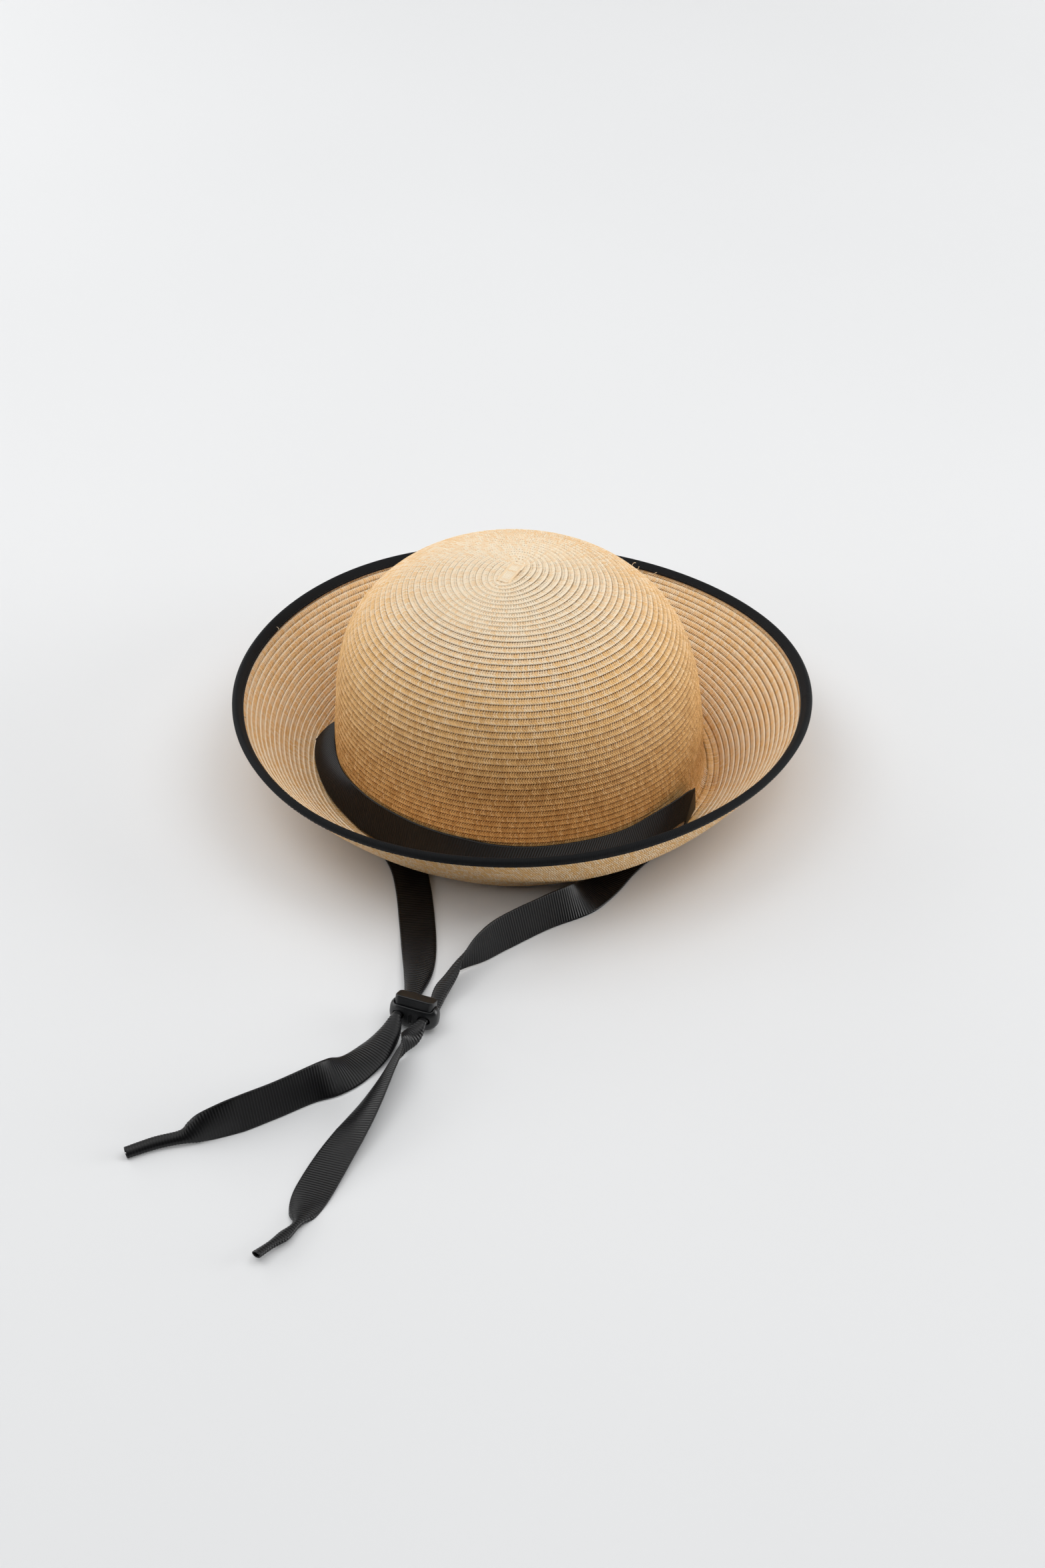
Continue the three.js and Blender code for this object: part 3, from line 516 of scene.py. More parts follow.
def path_mesh(name, points, outs, paleness_and_painted_light=0.0, section=(), closed=False):
    """A line of points with their outward sides and paleness, which carries painted light, and a section to
    sweep along it.
    """
    count = len(points)
    edges = [(i, i + 1) for i in range(count - 1)]
    if closed:
        edges.append((count - 1, 0))
    ring = len(section)
    edges += [(count + i, count + (i + 1) % ring) for i in range(ring)]
    vertices = (np.asarray(points) * MM).tolist() + [(x * MM, y * MM, 0) for x, y in section]
    mesh = bpy.data.meshes.new(name)
    mesh.from_pydata(vertices, edges, [])
    flags = [False] * count + [True] * ring
    mesh.attributes.new("section", "BOOLEAN", "POINT").data.foreach_set("value", flags)
    sides = np.concatenate([np.asarray(outs), np.tile(UP, (ring, 1))]).astype(np.float32)
    mesh.attributes.new("out", "FLOAT_VECTOR", "POINT").data.foreach_set("vector", sides.ravel())
    pale_share = np.concatenate([np.broadcast_to(paleness_and_painted_light, count), np.zeros(ring)]).astype(np.float32)
    mesh.attributes.new("paleness_and_painted_light", "FLOAT", "POINT").data.foreach_set("value", pale_share)
    return mesh


def strew(name, points, outs, paleness_and_painted_light, strand_sizes, closed=False):
    """Strands or stitches along a line, on the hat."""
    piece = grow(name, path_mesh(name, points, outs, paleness_and_painted_light, closed=closed), strewn, strand_sizes)
    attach(piece, "hat")
    return piece


def ease(value, low, high):
    """0 at low, 1 at high, with a smooth start and end."""
    t = np.clip((value - low) / (high - low), 0, 1)
    return t * t * (3 - 2 * t)


ring_list = np.linspace(0, SEAM_RING, 400)
ring_rows = smooth(CROWN_RINGS, ring_list)
ring_radius = (ring_rows[:, 1] + ring_rows[:, 2]) / 2
ring_length = lengths(np.stack([ring_radius, ring_rows[:, 0]], -1))
last_turn = (ring_length[-1] - CORE_START) / ROW_PITCH
turn = np.arange(-0.2, last_turn, 1 / STEPS_PER_TURN)
theta = 2 * math.pi * turn
radius = np.interp(CORE_START + ROW_PITCH * turn, ring_length, ring_radius)
long_radius = radius + CORE_HALF * np.clip(1 - radius / CORE_FADE, 0, 1)
local_x = long_radius * np.cos(theta)
local_y = radius * np.sin(theta)
azimuth = np.arctan2(local_y, local_x) + CORE_TURN
oval = np.hypot(local_x, local_y) - radius
ring = np.interp(CORE_START + ROW_PITCH * turn + oval, ring_length, ring_list)
crown_path = crown_wall(ring, azimuth)
crown_out = off_wall(crown_wall, np.maximum(ring, 0.02), azimuth)
# Painted light: the braid is painted paler towards the top of the crown, where the light falls on it.
crown_painted_top_light = np.clip((crown_path[:, 2] - TOP_LIGHT_FROM) / TOP_LIGHT_SPAN, 0, 1) ** 3
crown_end = azimuth[-1]

crown_mesh = path_mesh("crown_braid", crown_path, crown_out, crown_painted_top_light, BRAID_SECTION)
crown = grow("crown_braid", crown_mesh, sewn, {"Material": straw})
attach(crown, "hat")
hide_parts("crown")
# The strands in the upper half of each round end in teeth under the lip above, and those in the lower
# half lie flatter and slant the other way.
upper_strands = {
    "Pitch": STRAND_PITCH * MM, "Length": 1.5 * MM, "Width": 0.5 * MM, "Height": 0.26 * MM,
    "Across": 0.62 * MM, "Out": 0.27 * MM, "Tilt": math.radians(-20), "Slant": math.radians(60),
    "Material": strand_straw,
}
lower_strands = {
    "Pitch": STRAND_PITCH * MM, "Length": 1.5 * MM, "Width": 0.62 * MM, "Height": 0.16 * MM,
    "Across": 2.3 * MM, "Out": 0.56 * MM, "Tilt": math.radians(-12), "Slant": math.radians(-48),
    "Material": strand_straw,
}
for name, strand_sizes in (("crown_upper_strands", upper_strands), ("crown_lower_strands", lower_strands)):
    strew(name, crown_path, crown_out, crown_painted_top_light, strand_sizes)

# Core: the braid's beginning, a short straight strip at the tip that the first rounds close in. It is
# plaited in four rows of strands between two smooth lips, and a dark line shows along its right side.
CORE_SECTION = [
    (-0.9, -3.9), (0.1, -4.0), (0.5, -3.75), (0.68, -3.25), (0.5, -2.75), (0.3, -2.4), (0.3, 2.1),
    (0.5, 2.45), (0.68, 2.9), (0.5, 3.3), (0.1, 3.5), (-0.55, 3.55), (-0.6, 3.95), (-0.9, 3.9),
]
CORE_ROWS = [("a", -1.85, 55), ("b", -0.75, -55), ("c", 0.45, 55), ("d", 1.55, -55)]
CORE_OVERHANG = (3.4, 1.8)
CORE_HEIGHT = 121.95
CORE_ARCH = 0.005
core_points = np.linspace(-CORE_HALF - CORE_OVERHANG[0], CORE_HALF + CORE_OVERHANG[1], 12)
core_aside = -ROW_PITCH / 4
core_x = CROWN_RINGS[0][3] + core_points * math.cos(CORE_TURN) - core_aside * math.sin(CORE_TURN)
core_y = HAT_Y + core_points * math.sin(CORE_TURN) + core_aside * math.cos(CORE_TURN)
core_line = np.stack([core_x, core_y, CORE_HEIGHT - CORE_ARCH * core_points ** 2], -1)
core_out = np.tile(UP, (len(core_line), 1))
core_mesh = path_mesh("crown_core", core_line, core_out, 1.3, CORE_SECTION)
core = grow("crown_core", core_mesh, sewn, {"Material": strand_straw})
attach(core, "hat")
row_line = core_line.copy()
row_line[[0, -1]] = (core_line[[0, -1]] + core_line[[1, -2]]) / 2
for letter, aside, slant in CORE_ROWS:
    row = {"Across": aside * MM, "Out": 0.4 * MM, "Slant": math.radians(slant), "Tilt": 0.0}
    strew("crown_core_strands_" + letter, row_line, core_out, 1.0, {**lower_strands, **row})

# Brim: the same braid carried on from the crown's foot, round the roll that the hat stands on, and up
# and out to the edge, sewn so that the bowl of the brim is firm and springs up.
BRIM_LENGTH = 68.6
EDGE_MARGIN = 1.2
BRIM_ROOT_SLOPE = math.radians(37.8)
ROLL_RADIUS = 6.0
ROLL_FLAT = 3.0
EDGE_SLOPES = [[46], [23], [26], [49], [53], [55.5], [62.5], [63]]
ARCH_RISE = 1.8
ARCH_RAMP = 12.0
ARCH_REACH = 24.0
ARCHES = [(162, 262), (270, 346)]
BRIM_STEPS_PER_TURN = 220
NECK_LENGTHS = [-9.7, -4.8, -2.0, 0.0]
NECK_RINGS = [-3.0, -2.0, -1.0, 0.0]
LAST_RING = len(CROWN_RINGS) - 1
ROLL_RING = CROWN_RINGS[-1]


def arch_lift(azimuth):
    """How far the roll is lifted over the straps."""
    degrees = np.degrees(azimuth) % 360
    ups = [ease(degrees, low, low + ARCH_RAMP) for low, high in ARCHES]
    downs = [ease(degrees, high - ARCH_RAMP, high) for low, high in ARCHES]
    return ARCH_RISE * np.maximum(ups[0] * (1 - downs[0]), ups[1] * (1 - downs[1]))


def brim_wall(along, azimuth):
    """Middle of the brim's wall, at a length out from the bottom of the roll, or up the neck below 0."""
    along, azimuth = np.broadcast_arrays(np.asarray(along, float), np.asarray(azimuth, float))
    neck_ring = np.interp(along, NECK_LENGTHS, NECK_RINGS)
    neck = crown_wall(LAST_RING + np.minimum(neck_ring, 0), azimuth)
    out = np.maximum(along, 0)
    turn = (azimuth / (2 * math.pi)) % 1 * len(EDGE_SLOPES)
    edge = np.radians(smooth(EDGE_SLOPES, turn, closed=True)[..., 0])
    steps = 48
    middles = (np.arange(steps) + 0.5) / steps
    rolled = np.maximum(out[..., None] * middles - ROLL_FLAT / 2, 0)
    roll_length = ROLL_RADIUS * BRIM_ROOT_SLOPE
    share = np.clip((rolled - roll_length) / (BRIM_LENGTH - roll_length), 0, 1)
    slope = np.minimum(rolled / ROLL_RADIUS, BRIM_ROOT_SLOPE) + (edge[..., None] - BRIM_ROOT_SLOPE) * share
    radius = ROLL_RING[1] + out * np.cos(slope).mean(-1)
    height = ROLL_RING[0] + out * np.sin(slope).mean(-1)
    x = ROLL_RING[3] + radius * np.cos(azimuth)
    y = HAT_Y + radius * np.sin(azimuth)
    point = np.where((along < 0)[..., None], neck, np.stack([x, y, height], -1))
    near = np.where(along < 0, 1 + neck_ring / 3, 1 - along / ARCH_REACH)
    point[..., 2] += arch_lift(azimuth) * ease(near, 0, 1)
    return point


brim_end = BRIM_LENGTH - EDGE_MARGIN - ROW_PITCH
turn = np.arange(0, (brim_end - NECK_LENGTHS[0]) / ROW_PITCH, 1 / BRIM_STEPS_PER_TURN)
azimuth = crown_end + 2 * math.pi * turn
along = NECK_LENGTHS[0] + ROW_PITCH * turn
brim_path = brim_wall(along, azimuth)
brim_out = off_wall(brim_wall, along, azimuth)
# The brim's straw is paler out along the brim than at the crown's foot.
brim_paleness = 0.1 + 0.45 * ease(along, -8, 12)
brim_mesh = path_mesh("brim_braid", brim_path, brim_out, brim_paleness, BRAID_SECTION)
brim = grow("brim_braid", brim_mesh, sewn, {"Material": straw})
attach(brim, "hat")
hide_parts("brim")
under_strands = {
    **upper_strands, "Out": -0.75 * MM, "Across": 0.6 * MM, "Length": 2.6 * MM, "Height": 0.2 * MM,
    "Tilt": math.radians(167), "Slant": math.radians(-60),
}
brim_strands = (
    ("brim_upper_strands", upper_strands), ("brim_lower_strands", lower_strands),
    ("brim_underside_strands", under_strands),
)
for name, strand_sizes in brim_strands:
    strew(name, brim_path, brim_out, brim_paleness, strand_sizes)

# Binding: a dark woven tape folded over the brim's edge and sewn through both legs with one line of
# stitches near its upper edge.
BINDING_SECTION = [
    (1.9, -6.0), (2.0, -5.6), (2.0, -2.0), (1.8, -1.0), (1.2, -0.25), (0.4, 0.0),
    (-0.4, 0.0), (-1.2, -0.25), (-1.8, -1.0), (-2.0, -2.0), (-2.0, -3.9), (-1.9, -4.3),
    (-1.3, -4.3), (-1.2, -1.2), (1.2, -1.2), (1.3, -6.0),
]
WEFT_PITCH = 0.9
WORN_SPOTS_PER_METRE = 120

# Cotton tape, plain-woven and dyed blue-black: matt, with a fine cross weave and slightly worn spots.
# The weave is drawn at 0.9 mm, coarser than the real one, so that it shows.
TAPE_FINISH = {"Roughness": 0.75, "Specular IOR Level": 0.2}
binding_tape, tree, shader = new_material("woven cotton binding tape", TAPE_FINISH)
along = add(tree, "ShaderNodeAttribute", {"attribute_name": "along"}).outputs["Fac"]
weft = add(tree, MATH, "MULTIPLY", [along, 2 * math.pi / (WEFT_PITCH * MM)])
weave = add(tree, MATH, "COSINE", [weft])
place = add(tree, "ShaderNodeTexCoord").outputs["Object"]
worn = add(tree, "ShaderNodeTexNoise", None, {"Vector": place, "Scale": WORN_SPOTS_PER_METRE, "Detail": 4})
tone = add(tree, MATH, "MULTIPLY_ADD", [weave, 0.12, worn.outputs["Fac"]])
ramp = add(tree, "ShaderNodeValToRGB", None, {"Fac": tone})
for stop, share, code in zip(ramp.color_ramp.elements, (0.2, 0.85), ("040507", "0d0f12")):
    stop.position = share
    stop.color = linear(code)
tree.links.new(ramp.outputs["Color"], shader.inputs["Base Color"])
bump = add(tree, "ShaderNodeBump", None, {"Height": weave, "Distance": 0.00008, "Strength": 0.5})
tree.links.new(bump.outputs["Normal"], shader.inputs["Normal"])
azimuth = np.linspace(0, 2 * math.pi, 360, endpoint=False)
edge_length = np.full_like(azimuth, BRIM_LENGTH)
edge_path = brim_wall(edge_length, azimuth)
edge_out = off_wall(brim_wall, edge_length, azimuth)
binding_mesh = path_mesh("brim_binding_tape", edge_path, edge_out, 0.0, BINDING_SECTION, closed=True)
binding = grow("brim_binding_tape", binding_mesh, sewn, {"Material": binding_tape})
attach(binding, "hat")
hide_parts("brim_binding")

# Black polyester thread, a little shinier than the tape that it holds.
THREAD_FINISH = {"Base Color": linear("17181b"), "Roughness": 0.5}
thread, tree, shader = new_material("polyester sewing thread", THREAD_FINISH)
upper_stitches = {
    "Pitch": 2.6 * MM, "Length": 1.9 * MM, "Width": 0.22 * MM, "Height": 0.2 * MM,
    "Across": -5.1 * MM, "Out": 2.02 * MM, "Tilt": 0.0, "Slant": 0.0, "Material": thread,
}
lower_stitches = {**upper_stitches, "Across": -3.6 * MM, "Out": -2.02 * MM, "Tilt": math.pi}
stitch_lines = (("binding_stitches", upper_stitches), ("binding_stitches_under", lower_stitches))
stitches = [
    strew(name, edge_path, edge_out, 0.0, stitch_sizes, closed=True)
    for name, stitch_sizes in stitch_lines
]

# Wear: a few fibres have come loose. One curls off the far shoulder of the crown, a pale tuft and the
# end of a stitch stick out at the tape, and cut straw shows in rows beside the right slit.
FIBRE_RADIUS = 0.13
fibre_turns = np.linspace(0, 2 * math.pi, 6, endpoint=False)
FIBRE_SECTION = [(FIBRE_RADIUS * math.cos(t), FIBRE_RADIUS * math.sin(t)) for t in fibre_turns]
shoulder = crown_wall(np.array(4.0), np.array(math.radians(31)))
tuft = brim_wall(np.array(63.2), np.array(math.radians(155))) + (1.6, -0.7, 2.0)
stitch_end = brim_wall(np.array(62.5), np.array(math.radians(188))) + (0.9, 0.0, 1.6)
FIBRES = [
    ("loose_fibre_long", shoulder, strand_straw, "straw",
     [(-1, 0, 0.4), (1.2, 0.2, -0.3), (3.4, 0.2, -0.6), (5, 0, 0.3), (6.6, 0, -0.1), (8.6, -0.4, 1.4)]),
    ("loose_fibre_short", shoulder, strand_straw, "straw",
     [(-4.5, 1.5, 3.6), (-4.2, 1.6, 5.2), (-3.2, 1.6, 6.2), (-2.6, 1.5, 6)]),
    ("loose_fibre_low", shoulder, strand_straw, "straw",
     [(-2.2, 0.6, 1.8), (-1.4, 0.7, 3), (-0.9, 0.6, 4), (-0.9, 0.5, 4.6)]),
    ("pale_tuft", tuft, strand_straw, "straw",
     [(-0.6, 0.5, 0.6), (-0.1, 0.1, 0.7), (0.5, -0.3, 0.4), (0.6, -0.9, 0)]),
    ("stitch_end", stitch_end, thread, "binding_tape",
     [(-1, 0.2, 0.4), (0, 0, 0.5), (0.7, -0.2, 0.5), (1.5, 0, 0.2)]),
]
for name, start, material, slot, bends in FIBRES:
    places = np.linspace(0, len(bends) - 1, 6 * len(bends))
    points = start + smooth(bends, places)
    outs = np.tile((0.1, -1.0, 0.2), (len(points), 1))
    fibre = grow(name, path_mesh(name, points, outs, 1.5, FIBRE_SECTION), sewn, {"Material": material})
    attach(fibre, "hat")
frays = {
    "Pitch": 1.5 * MM, "Length": 2.4 * MM, "Width": 0.26 * MM, "Height": 0.22 * MM, "Across": 0.7 * MM,
    "Out": 1.15 * MM, "Tilt": math.radians(-40), "Slant": math.radians(80), "Material": strand_straw,
}
FRAYED_ROWS = [
    ("frayed_row_a", -4.7, 344, 353), ("frayed_row_b", 0.2, 345, 352), ("frayed_row_c", 3.6, 347, 352),
]
for name, place, first, last in FRAYED_ROWS:
    azimuth = np.radians(np.linspace(first, last, 24))
    along = np.full_like(azimuth, place)
    strew(name, brim_wall(along, azimuth), off_wall(brim_wall, along, azimuth), 0.8, frays)

# Hat band: the same ribbon across the near side, from slit to slit, its upper edge against the crown
# and its lower edge on the brim, where both ends dive through.
BAND_LIFT = 1.6
BAND_TOP_RING = 8.9
BAND_FOOT = 9.0
BAND_ENDS = [(175, 170, 0), (323, 333, 5)]
STAND_OFF_SPAN = 24.0
TAB_END_HEIGHT = 1.8
PULL_RINGS = 0.45
PULL_FOOT = 5.0
FLARE_RINGS = 0.5
FLARE_FOOT = 2.0
CORNER_DROP = 0.25
LEFT_FOOT_OUT = 2.5
SLACK_WAVE = 0.3
TAB_ROWS = 13
share = np.linspace(0, 1, 4000)
top_azimuth = np.radians(BAND_ENDS[0][1] + (BAND_ENDS[1][1] - BAND_ENDS[0][1]) * share)
foot_azimuth = np.radians(BAND_ENDS[0][0] + (BAND_ENDS[1][0] - BAND_ENDS[0][0]) * share)
away = np.abs(np.degrees(top_azimuth) - BAND_ENDS[1][1])
stand_off = BAND_ENDS[1][2] * (1 - ease(away, 0, STAND_OFF_SPAN))
# It is drawn up on the left front, flares up at the right end, and has a rounded corner there.
pulled_up = ease(share, 0.1, 0.36) * (1 - 0.7 * ease(share, 0.36, 0.64))
flared = ease(share, 0.8, 0.96)
corner = ease(share, 0.965, 1) ** 2
left_end = 1 - ease(share, 0, 0.2)
top_ring = BAND_TOP_RING - PULL_RINGS * pulled_up - FLARE_RINGS * flared + CORNER_DROP * corner
foot_length = BAND_FOOT - PULL_FOOT * pulled_up - FLARE_FOOT * flared + LEFT_FOOT_OUT * left_end
top_out = off_wall(crown_wall, top_ring, top_azimuth)
foot_out = off_wall(brim_wall, foot_length, foot_azimuth)
top = crown_wall(top_ring, top_azimuth) + top_out * (BAND_LIFT + stand_off)[:, None]
foot = brim_wall(foot_length, foot_azimuth) + foot_out * BAND_LIFT
length = lengths((top + foot) / 2)
even = np.linspace(0, length[-1], int(length[-1] / (RIB_PITCH / ROWS_PER_RIB)))
top = np.stack([np.interp(even, length, top[:, k]) for k in range(3)], -1)
foot = np.stack([np.interp(even, length, foot[:, k]) for k in range(3)], -1)
heading = unit(np.gradient((top + foot) / 2, axis=0))
# The cloth was sewn on slack, so it stands in shallow waves. Each end drops through the straw.
slack = SLACK_WAVE * np.sin(even / 7) * np.sin(even / 31 + 0.8)
lifted = unit(np.cross(foot - top, heading)) * slack[:, None]
top = top + lifted
foot = foot + lifted
fall = np.linspace(1, 0, TAB_ROWS + 1)[:-1, None]
level = np.array([1.0, 1.0, 0.0])
first_top, first_foot, last_top, last_foot = (
    edge + fall * (edge * level + UP * TAB_END_HEIGHT - edge)
    for edge in (top[0], foot[0], top[-1], foot[-1])
)
top = np.concatenate([first_top, top, last_top[::-1]])
foot = np.concatenate([first_foot, foot, last_foot[::-1]])
rise = np.tile(UP, (len(fall), 1))
heading = np.concatenate([rise, heading, -rise])
side = unit(foot - top)
face = unit(np.cross(side, heading))
width = np.minimum(np.linalg.norm(foot - top, axis=1), RIBBON_WIDTH)
band = ribbon("hat_band_ribbon", (top + foot) / 2, side, face, width)
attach(band, "hat")
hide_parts("hat_band")

# Cord lock: a two-hole lock moulded in black acetal, 25 mm wide. An oval body carries a saddle with a
# push button, whose plunger crosses both ribbons inside and nips them. All edges are softly rounded.
PEBBLE_HALF = (12.5, 5.5, 7.5)
PEBBLE_SQUARENESS = 2.8
PEBBLE_AROUND = 96
PEBBLE_ROWS = 47
HOLE_HALF = (3.0, 1.5)
BUTTON_HALF = (9.75, 3.7)
BUTTON_CORNER = 2.2
BUTTON_FOOT = 3.0
BUTTON_TOP = 8.2
PLUNGER_HALF = (8.0, 1.5)
PLUNGER_FOOT = -3.3
PLUNGER_LEG = 3.4
PLUNGER_WINDOW = 2.5
SADDLE_HEIGHT = 3.7
SADDLE_REACH = 6.0
SADDLE_CORNER = 1.2
RECESS_HALF = (0.9, 2.4)
RECESS_CORNER = 0.5
RECESS_DROP = 0.8
RECESS_FLOOR = -4.4
CAP_SWELL = 0.2
THROUGH = 11.0
ABOVE = 15.0
SLIDING_GAP = 0.4
BUTTON_TRAVEL = 2.0

# Black acetal, satin from the mould: a soft broad highlight over a very fine grain.
GRAINS_PER_METRE = 2500
PLASTIC_FINISH = {"Base Color": linear("131416"), "Roughness": 0.32}
lock_plastic, tree, shader = new_material("moulded acetal plastic", PLASTIC_FINISH)
place = add(tree, "ShaderNodeTexCoord").outputs["Object"]
grain = add(tree, "ShaderNodeTexNoise", None, {"Vector": place, "Scale": GRAINS_PER_METRE, "Detail": 2})
grained = {"Height": grain.outputs["Fac"], "Distance": 0.00002, "Strength": 0.4}
bump = add(tree, "ShaderNodeBump", None, grained)
tree.links.new(bump.outputs["Normal"], shader.inputs["Normal"])


def prism(name, outline, axis, low, high):
    """A closed prism: an outline in the other two axes, drawn out along one axis between two places."""
    others = [k for k in (0, 1, 2) if k != axis]
    points = np.zeros((2, len(outline), 3))
    points[:, :, others] = outline
    points[0, :, axis] = low
    points[1, :, axis] = high
    count = len(outline)
    ends = [list(range(count - 1, -1, -1)), list(range(count, 2 * count))]
    walls = [[k, (k + 1) % count, count + (k + 1) % count, count + k] for k in range(count)]
    faces = ends + walls
    if axis == 1:
        faces = [face[::-1] for face in faces]
    mesh = bpy.data.meshes.new(name)
    mesh.from_pydata((points.reshape(-1, 3) * MM).tolist(), [], faces)
    return put(name, mesh)


def rounded(half_x, half_y, corner, steps=8):
    """A rectangle's outline with round corners, counter-clockwise."""
    turns = np.linspace(0, math.pi / 2, steps)
    middles = ((1, 1, 0), (-1, 1, 1), (-1, -1, 2), (1, -1, 3))
    rows = [
        (sx * (half_x - corner) + corner * math.cos(t + q * math.pi / 2),
         sy * (half_y - corner) + corner * math.sin(t + q * math.pi / 2))
        for sx, sy, q in middles for t in turns
    ]
    return np.array(rows)


def cut_soft(name, block, cutters, grain_size, rounds):
    """A block less its cutters, with every edge softened, moved to the lock's place."""
    for cutter in cutters:
        cut = block.modifiers.new(cutter.name, "BOOLEAN")
        cut.object = cutter
    remesh = block.modifiers.new("even skin", "REMESH")
    remesh.mode = "VOXEL"
    remesh.voxel_size = grain_size * MM
    remesh.use_smooth_shade = True
    soft = block.modifiers.new("soft edges", "SMOOTH")
    soft.iterations = rounds
    evaluated = block.evaluated_get(bpy.context.evaluated_depsgraph_get())
    mesh = bpy.data.meshes.new_from_object(evaluated)
    for used in (block, *cutters):
        bpy.data.objects.remove(used)
    stand = Matrix.Translation(Vector(LOCK_PLACE * MM)) @ Matrix(LOCK_TURN.tolist()).to_4x4()
    mesh.transform(stand)
    mesh.materials.clear()
    mesh.materials.append(lock_plastic)
    return put(name, mesh)


pebble_u = np.linspace(0, 2 * math.pi, PEBBLE_AROUND, endpoint=False)
pebble_v = np.linspace(0, math.pi, PEBBLE_ROWS + 2)[1:-1]
ball = np.stack([
    np.outer(np.sin(pebble_v), np.cos(pebble_u)), np.outer(np.sin(pebble_v), np.sin(pebble_u)),
    np.outer(np.cos(pebble_v), np.ones_like(pebble_u)),
], -1).reshape(-1, 3)
ball = np.concatenate([ball, [(0, 0, 1), (0, 0, -1)]])
swollen = np.sign(ball) * np.abs(ball) ** (2 / PEBBLE_SQUARENESS) * np.array(PEBBLE_HALF)
last_row = (PEBBLE_ROWS - 1) * PEBBLE_AROUND
top_tip = PEBBLE_ROWS * PEBBLE_AROUND
here = np.arange(last_row).reshape(-1, PEBBLE_AROUND)
beside = np.roll(here, -1, axis=1)
quads = np.stack([here, here + PEBBLE_AROUND, beside + PEBBLE_AROUND, beside], -1)
pebble_faces = quads.reshape(-1, 4).tolist()
onward = [(k, (k + 1) % PEBBLE_AROUND) for k in range(PEBBLE_AROUND)]
pebble_faces += [[top_tip, k, after] for k, after in onward]
pebble_faces += [[top_tip + 1, last_row + after, last_row + k] for k, after in onward]
pebble_mesh = bpy.data.meshes.new("pebble")
pebble_mesh.from_pydata((swollen * MM).tolist(), [], pebble_faces)
pebble = put("pebble", pebble_mesh)
pocket_x = BUTTON_HALF[0] + SLIDING_GAP
pocket = rounded(pocket_x, BUTTON_HALF[1] + SLIDING_GAP, BUTTON_CORNER + SLIDING_GAP)
saddle = rounded(pocket_x, SADDLE_REACH, SADDLE_CORNER)
recess = rounded(*RECESS_HALF, RECESS_CORNER)
pocket_floor = BUTTON_FOOT - BUTTON_TRAVEL - SLIDING_GAP
well = rounded(PLUNGER_HALF[0] + SLIDING_GAP, PLUNGER_HALF[1] + SLIDING_GAP, 0.3, 2)
well_floor = PLUNGER_FOOT - BUTTON_TRAVEL - SLIDING_GAP
slot_outline = rounded(*HOLE_HALF, HOLE_HALF[1] - 0.01)
lock_cutters = [
    prism("saddle", saddle + (0, SADDLE_HEIGHT + SADDLE_REACH), 1, -THROUGH, THROUGH),
    prism("pocket", pocket, 2, pocket_floor, ABOVE),
    prism("well", well, 2, well_floor, ABOVE),
    prism("left_hole", slot_outline + (-HOLE_X, HOLE_Z), 1, -THROUGH, THROUGH),
    prism("right_hole", slot_outline + (HOLE_X, HOLE_Z), 1, -THROUGH, THROUGH),
    prism("recess", recess + (0, HOLE_Z - RECESS_DROP), 1, -THROUGH, RECESS_FLOOR),
]
lock_body = cut_soft("lock_pebble", pebble, lock_cutters, grain_size=0.2, rounds=8)
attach(lock_body, "hat")
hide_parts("lock_body")

# The button's cap is a rounded bar, and its plunger is windowed where the ribbons pass.
cap_outline = rounded(BUTTON_HALF[0] + CAP_SWELL, BUTTON_HALF[1] + CAP_SWELL, BUTTON_CORNER)
cap = prism("cap", cap_outline, 2, BUTTON_FOOT, BUTTON_TOP + CAP_SWELL / 2)
button = cut_soft("lock_button_cap", cap, [], grain_size=0.2, rounds=40)
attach(button, "lock_button")
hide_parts("lock_button")
leg = PLUNGER_LEG
window = PLUNGER_WINDOW
wide = PLUNGER_HALF[0]
root = BUTTON_FOOT + 1
plunger_outline = np.array([
    (-wide, PLUNGER_FOOT), (wide, PLUNGER_FOOT), (wide, -window), (leg, -window),
    (leg, window), (wide, window), (wide, root), (-wide, root),
    (-wide, window), (-leg, window), (-leg, -window), (-wide, -window),
])
blank = prism("plunger_blank", plunger_outline, 1, -PLUNGER_HALF[1], PLUNGER_HALF[1])
plunger = cut_soft("lock_button_plunger", blank, [], grain_size=0.25, rounds=2)
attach(plunger, "lock_button")

# Floor: a round sheet of pale matt paper that the hat stands on. It ends outside the picture, and
# short of the lamps that stand about it.
FLOOR_RADIUS = 1.3
FLOOR_SIDES = 96
MOTTLES_PER_METRE = 3
floor_mesh = bpy.data.meshes.new("floor")
floor_turns = np.linspace(0, 2 * math.pi, FLOOR_SIDES, endpoint=False)
floor_edge = [(FLOOR_RADIUS * math.cos(turn), FLOOR_RADIUS * math.sin(turn), 0) for turn in floor_turns]
floor_mesh.from_pydata(floor_edge, [], [list(range(len(floor_edge)))])
floor = put("floor", floor_mesh)
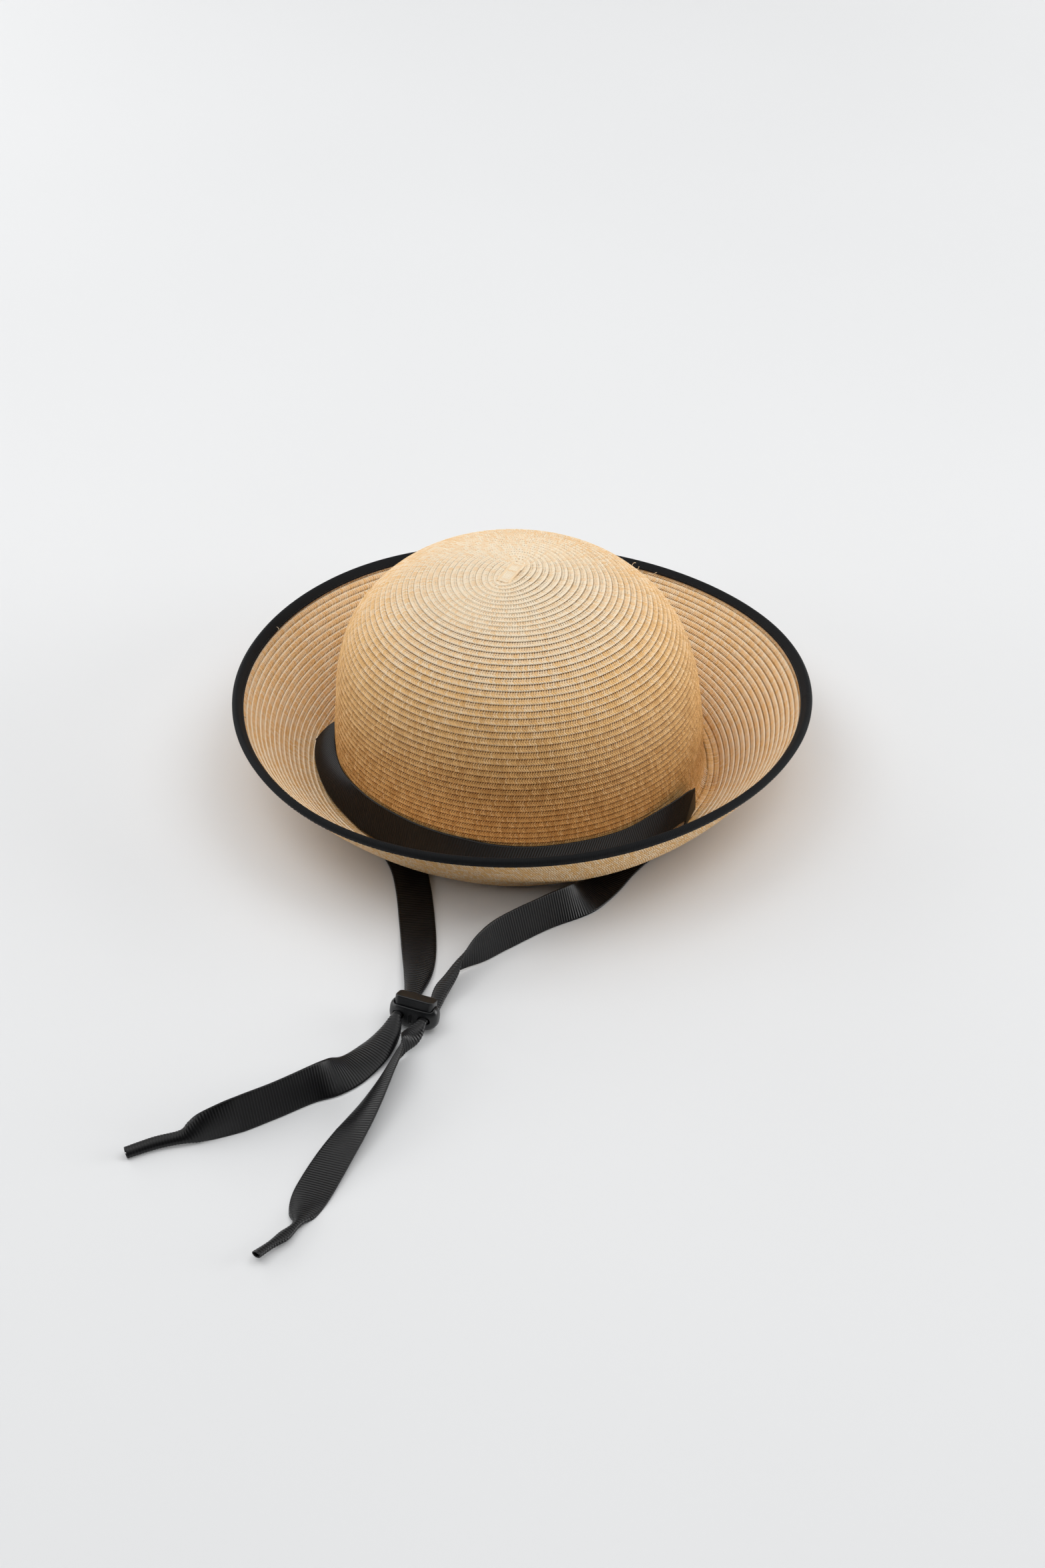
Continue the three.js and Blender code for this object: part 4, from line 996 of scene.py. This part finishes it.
# Matt paper: near white, with a faint wide mottle and no gloss.
paper, tree, shader = new_material("matt paper floor", {"Roughness": 0.9})
place = add(tree, "ShaderNodeTexCoord").outputs["Object"]
mottle = add(tree, "ShaderNodeTexNoise", None, {"Vector": place, "Scale": MOTTLES_PER_METRE, "Detail": 1})
ramp = add(tree, "ShaderNodeValToRGB", None, {"Fac": mottle.outputs["Fac"]})
ramp.color_ramp.elements[0].color = linear("e4e5e6")
ramp.color_ramp.elements[1].color = linear("e8e9ea")
tree.links.new(ramp.outputs["Color"], shader.inputs["Base Color"])
floor_mesh.materials.append(paper)

# Light: a wide panel overhead, others low down on both sides and behind, and weaker ones higher up.
# Rows are name, azimuth from +X towards +Y and elevation in degrees, size in metres, and watts.
LIGHT_DISTANCE = 2.2
LIGHT_CENTRE = Vector((0, -0.1, 0))
LIGHTS = [
    ("overhead_light", 0, 89, 4.2, 36), ("right_low", 0, 8, 1.4, 32), ("left_low", 180, 8, 1.4, 20),
    ("back_right_low", 60, 8, 1.4, 11.5), ("back_left_low", 120, 8, 1.4, 9),
    ("back_left", 135, 30, 1.4, 8), ("back_high", 90, 60, 1.4, 2), ("left_high", 180, 60, 1.4, 8),
    ("right_high", 0, 60, 1.4, 10), ("front_high", 270, 60, 1.4, 5),
]
for name, azimuth, elevation, size, power in LIGHTS:
    lamp = bpy.data.lights.new(name, "AREA")
    lamp.size = size
    lamp.energy = power
    light = put(name, lamp)
    turn, rise = math.radians(azimuth), math.radians(elevation)
    towards = Vector((math.cos(rise) * math.cos(turn), math.cos(rise) * math.sin(turn), math.sin(rise)))
    light.location = towards * LIGHT_DISTANCE + LIGHT_CENTRE
    light.rotation_euler = towards.to_track_quat("Z", "Y").to_euler()
    light.visible_camera = False
# The room lights the hat faintly from all round, and shows as a pale wall beyond the floor.
world = bpy.data.worlds.new("studio")
world.use_nodes = True
room = world.node_tree
seen = add(room, "ShaderNodeLightPath").outputs["Is Camera Ray"]
strength = add(room, "ShaderNodeMapRange", None, {"Value": seen, "To Min": 0.02, "To Max": 0.84})
room.nodes["Background"].inputs["Color"].default_value = (1, 1, 1, 1)
room.links.new(strength.outputs[0], room.nodes["Background"].inputs["Strength"])
scene.world = world
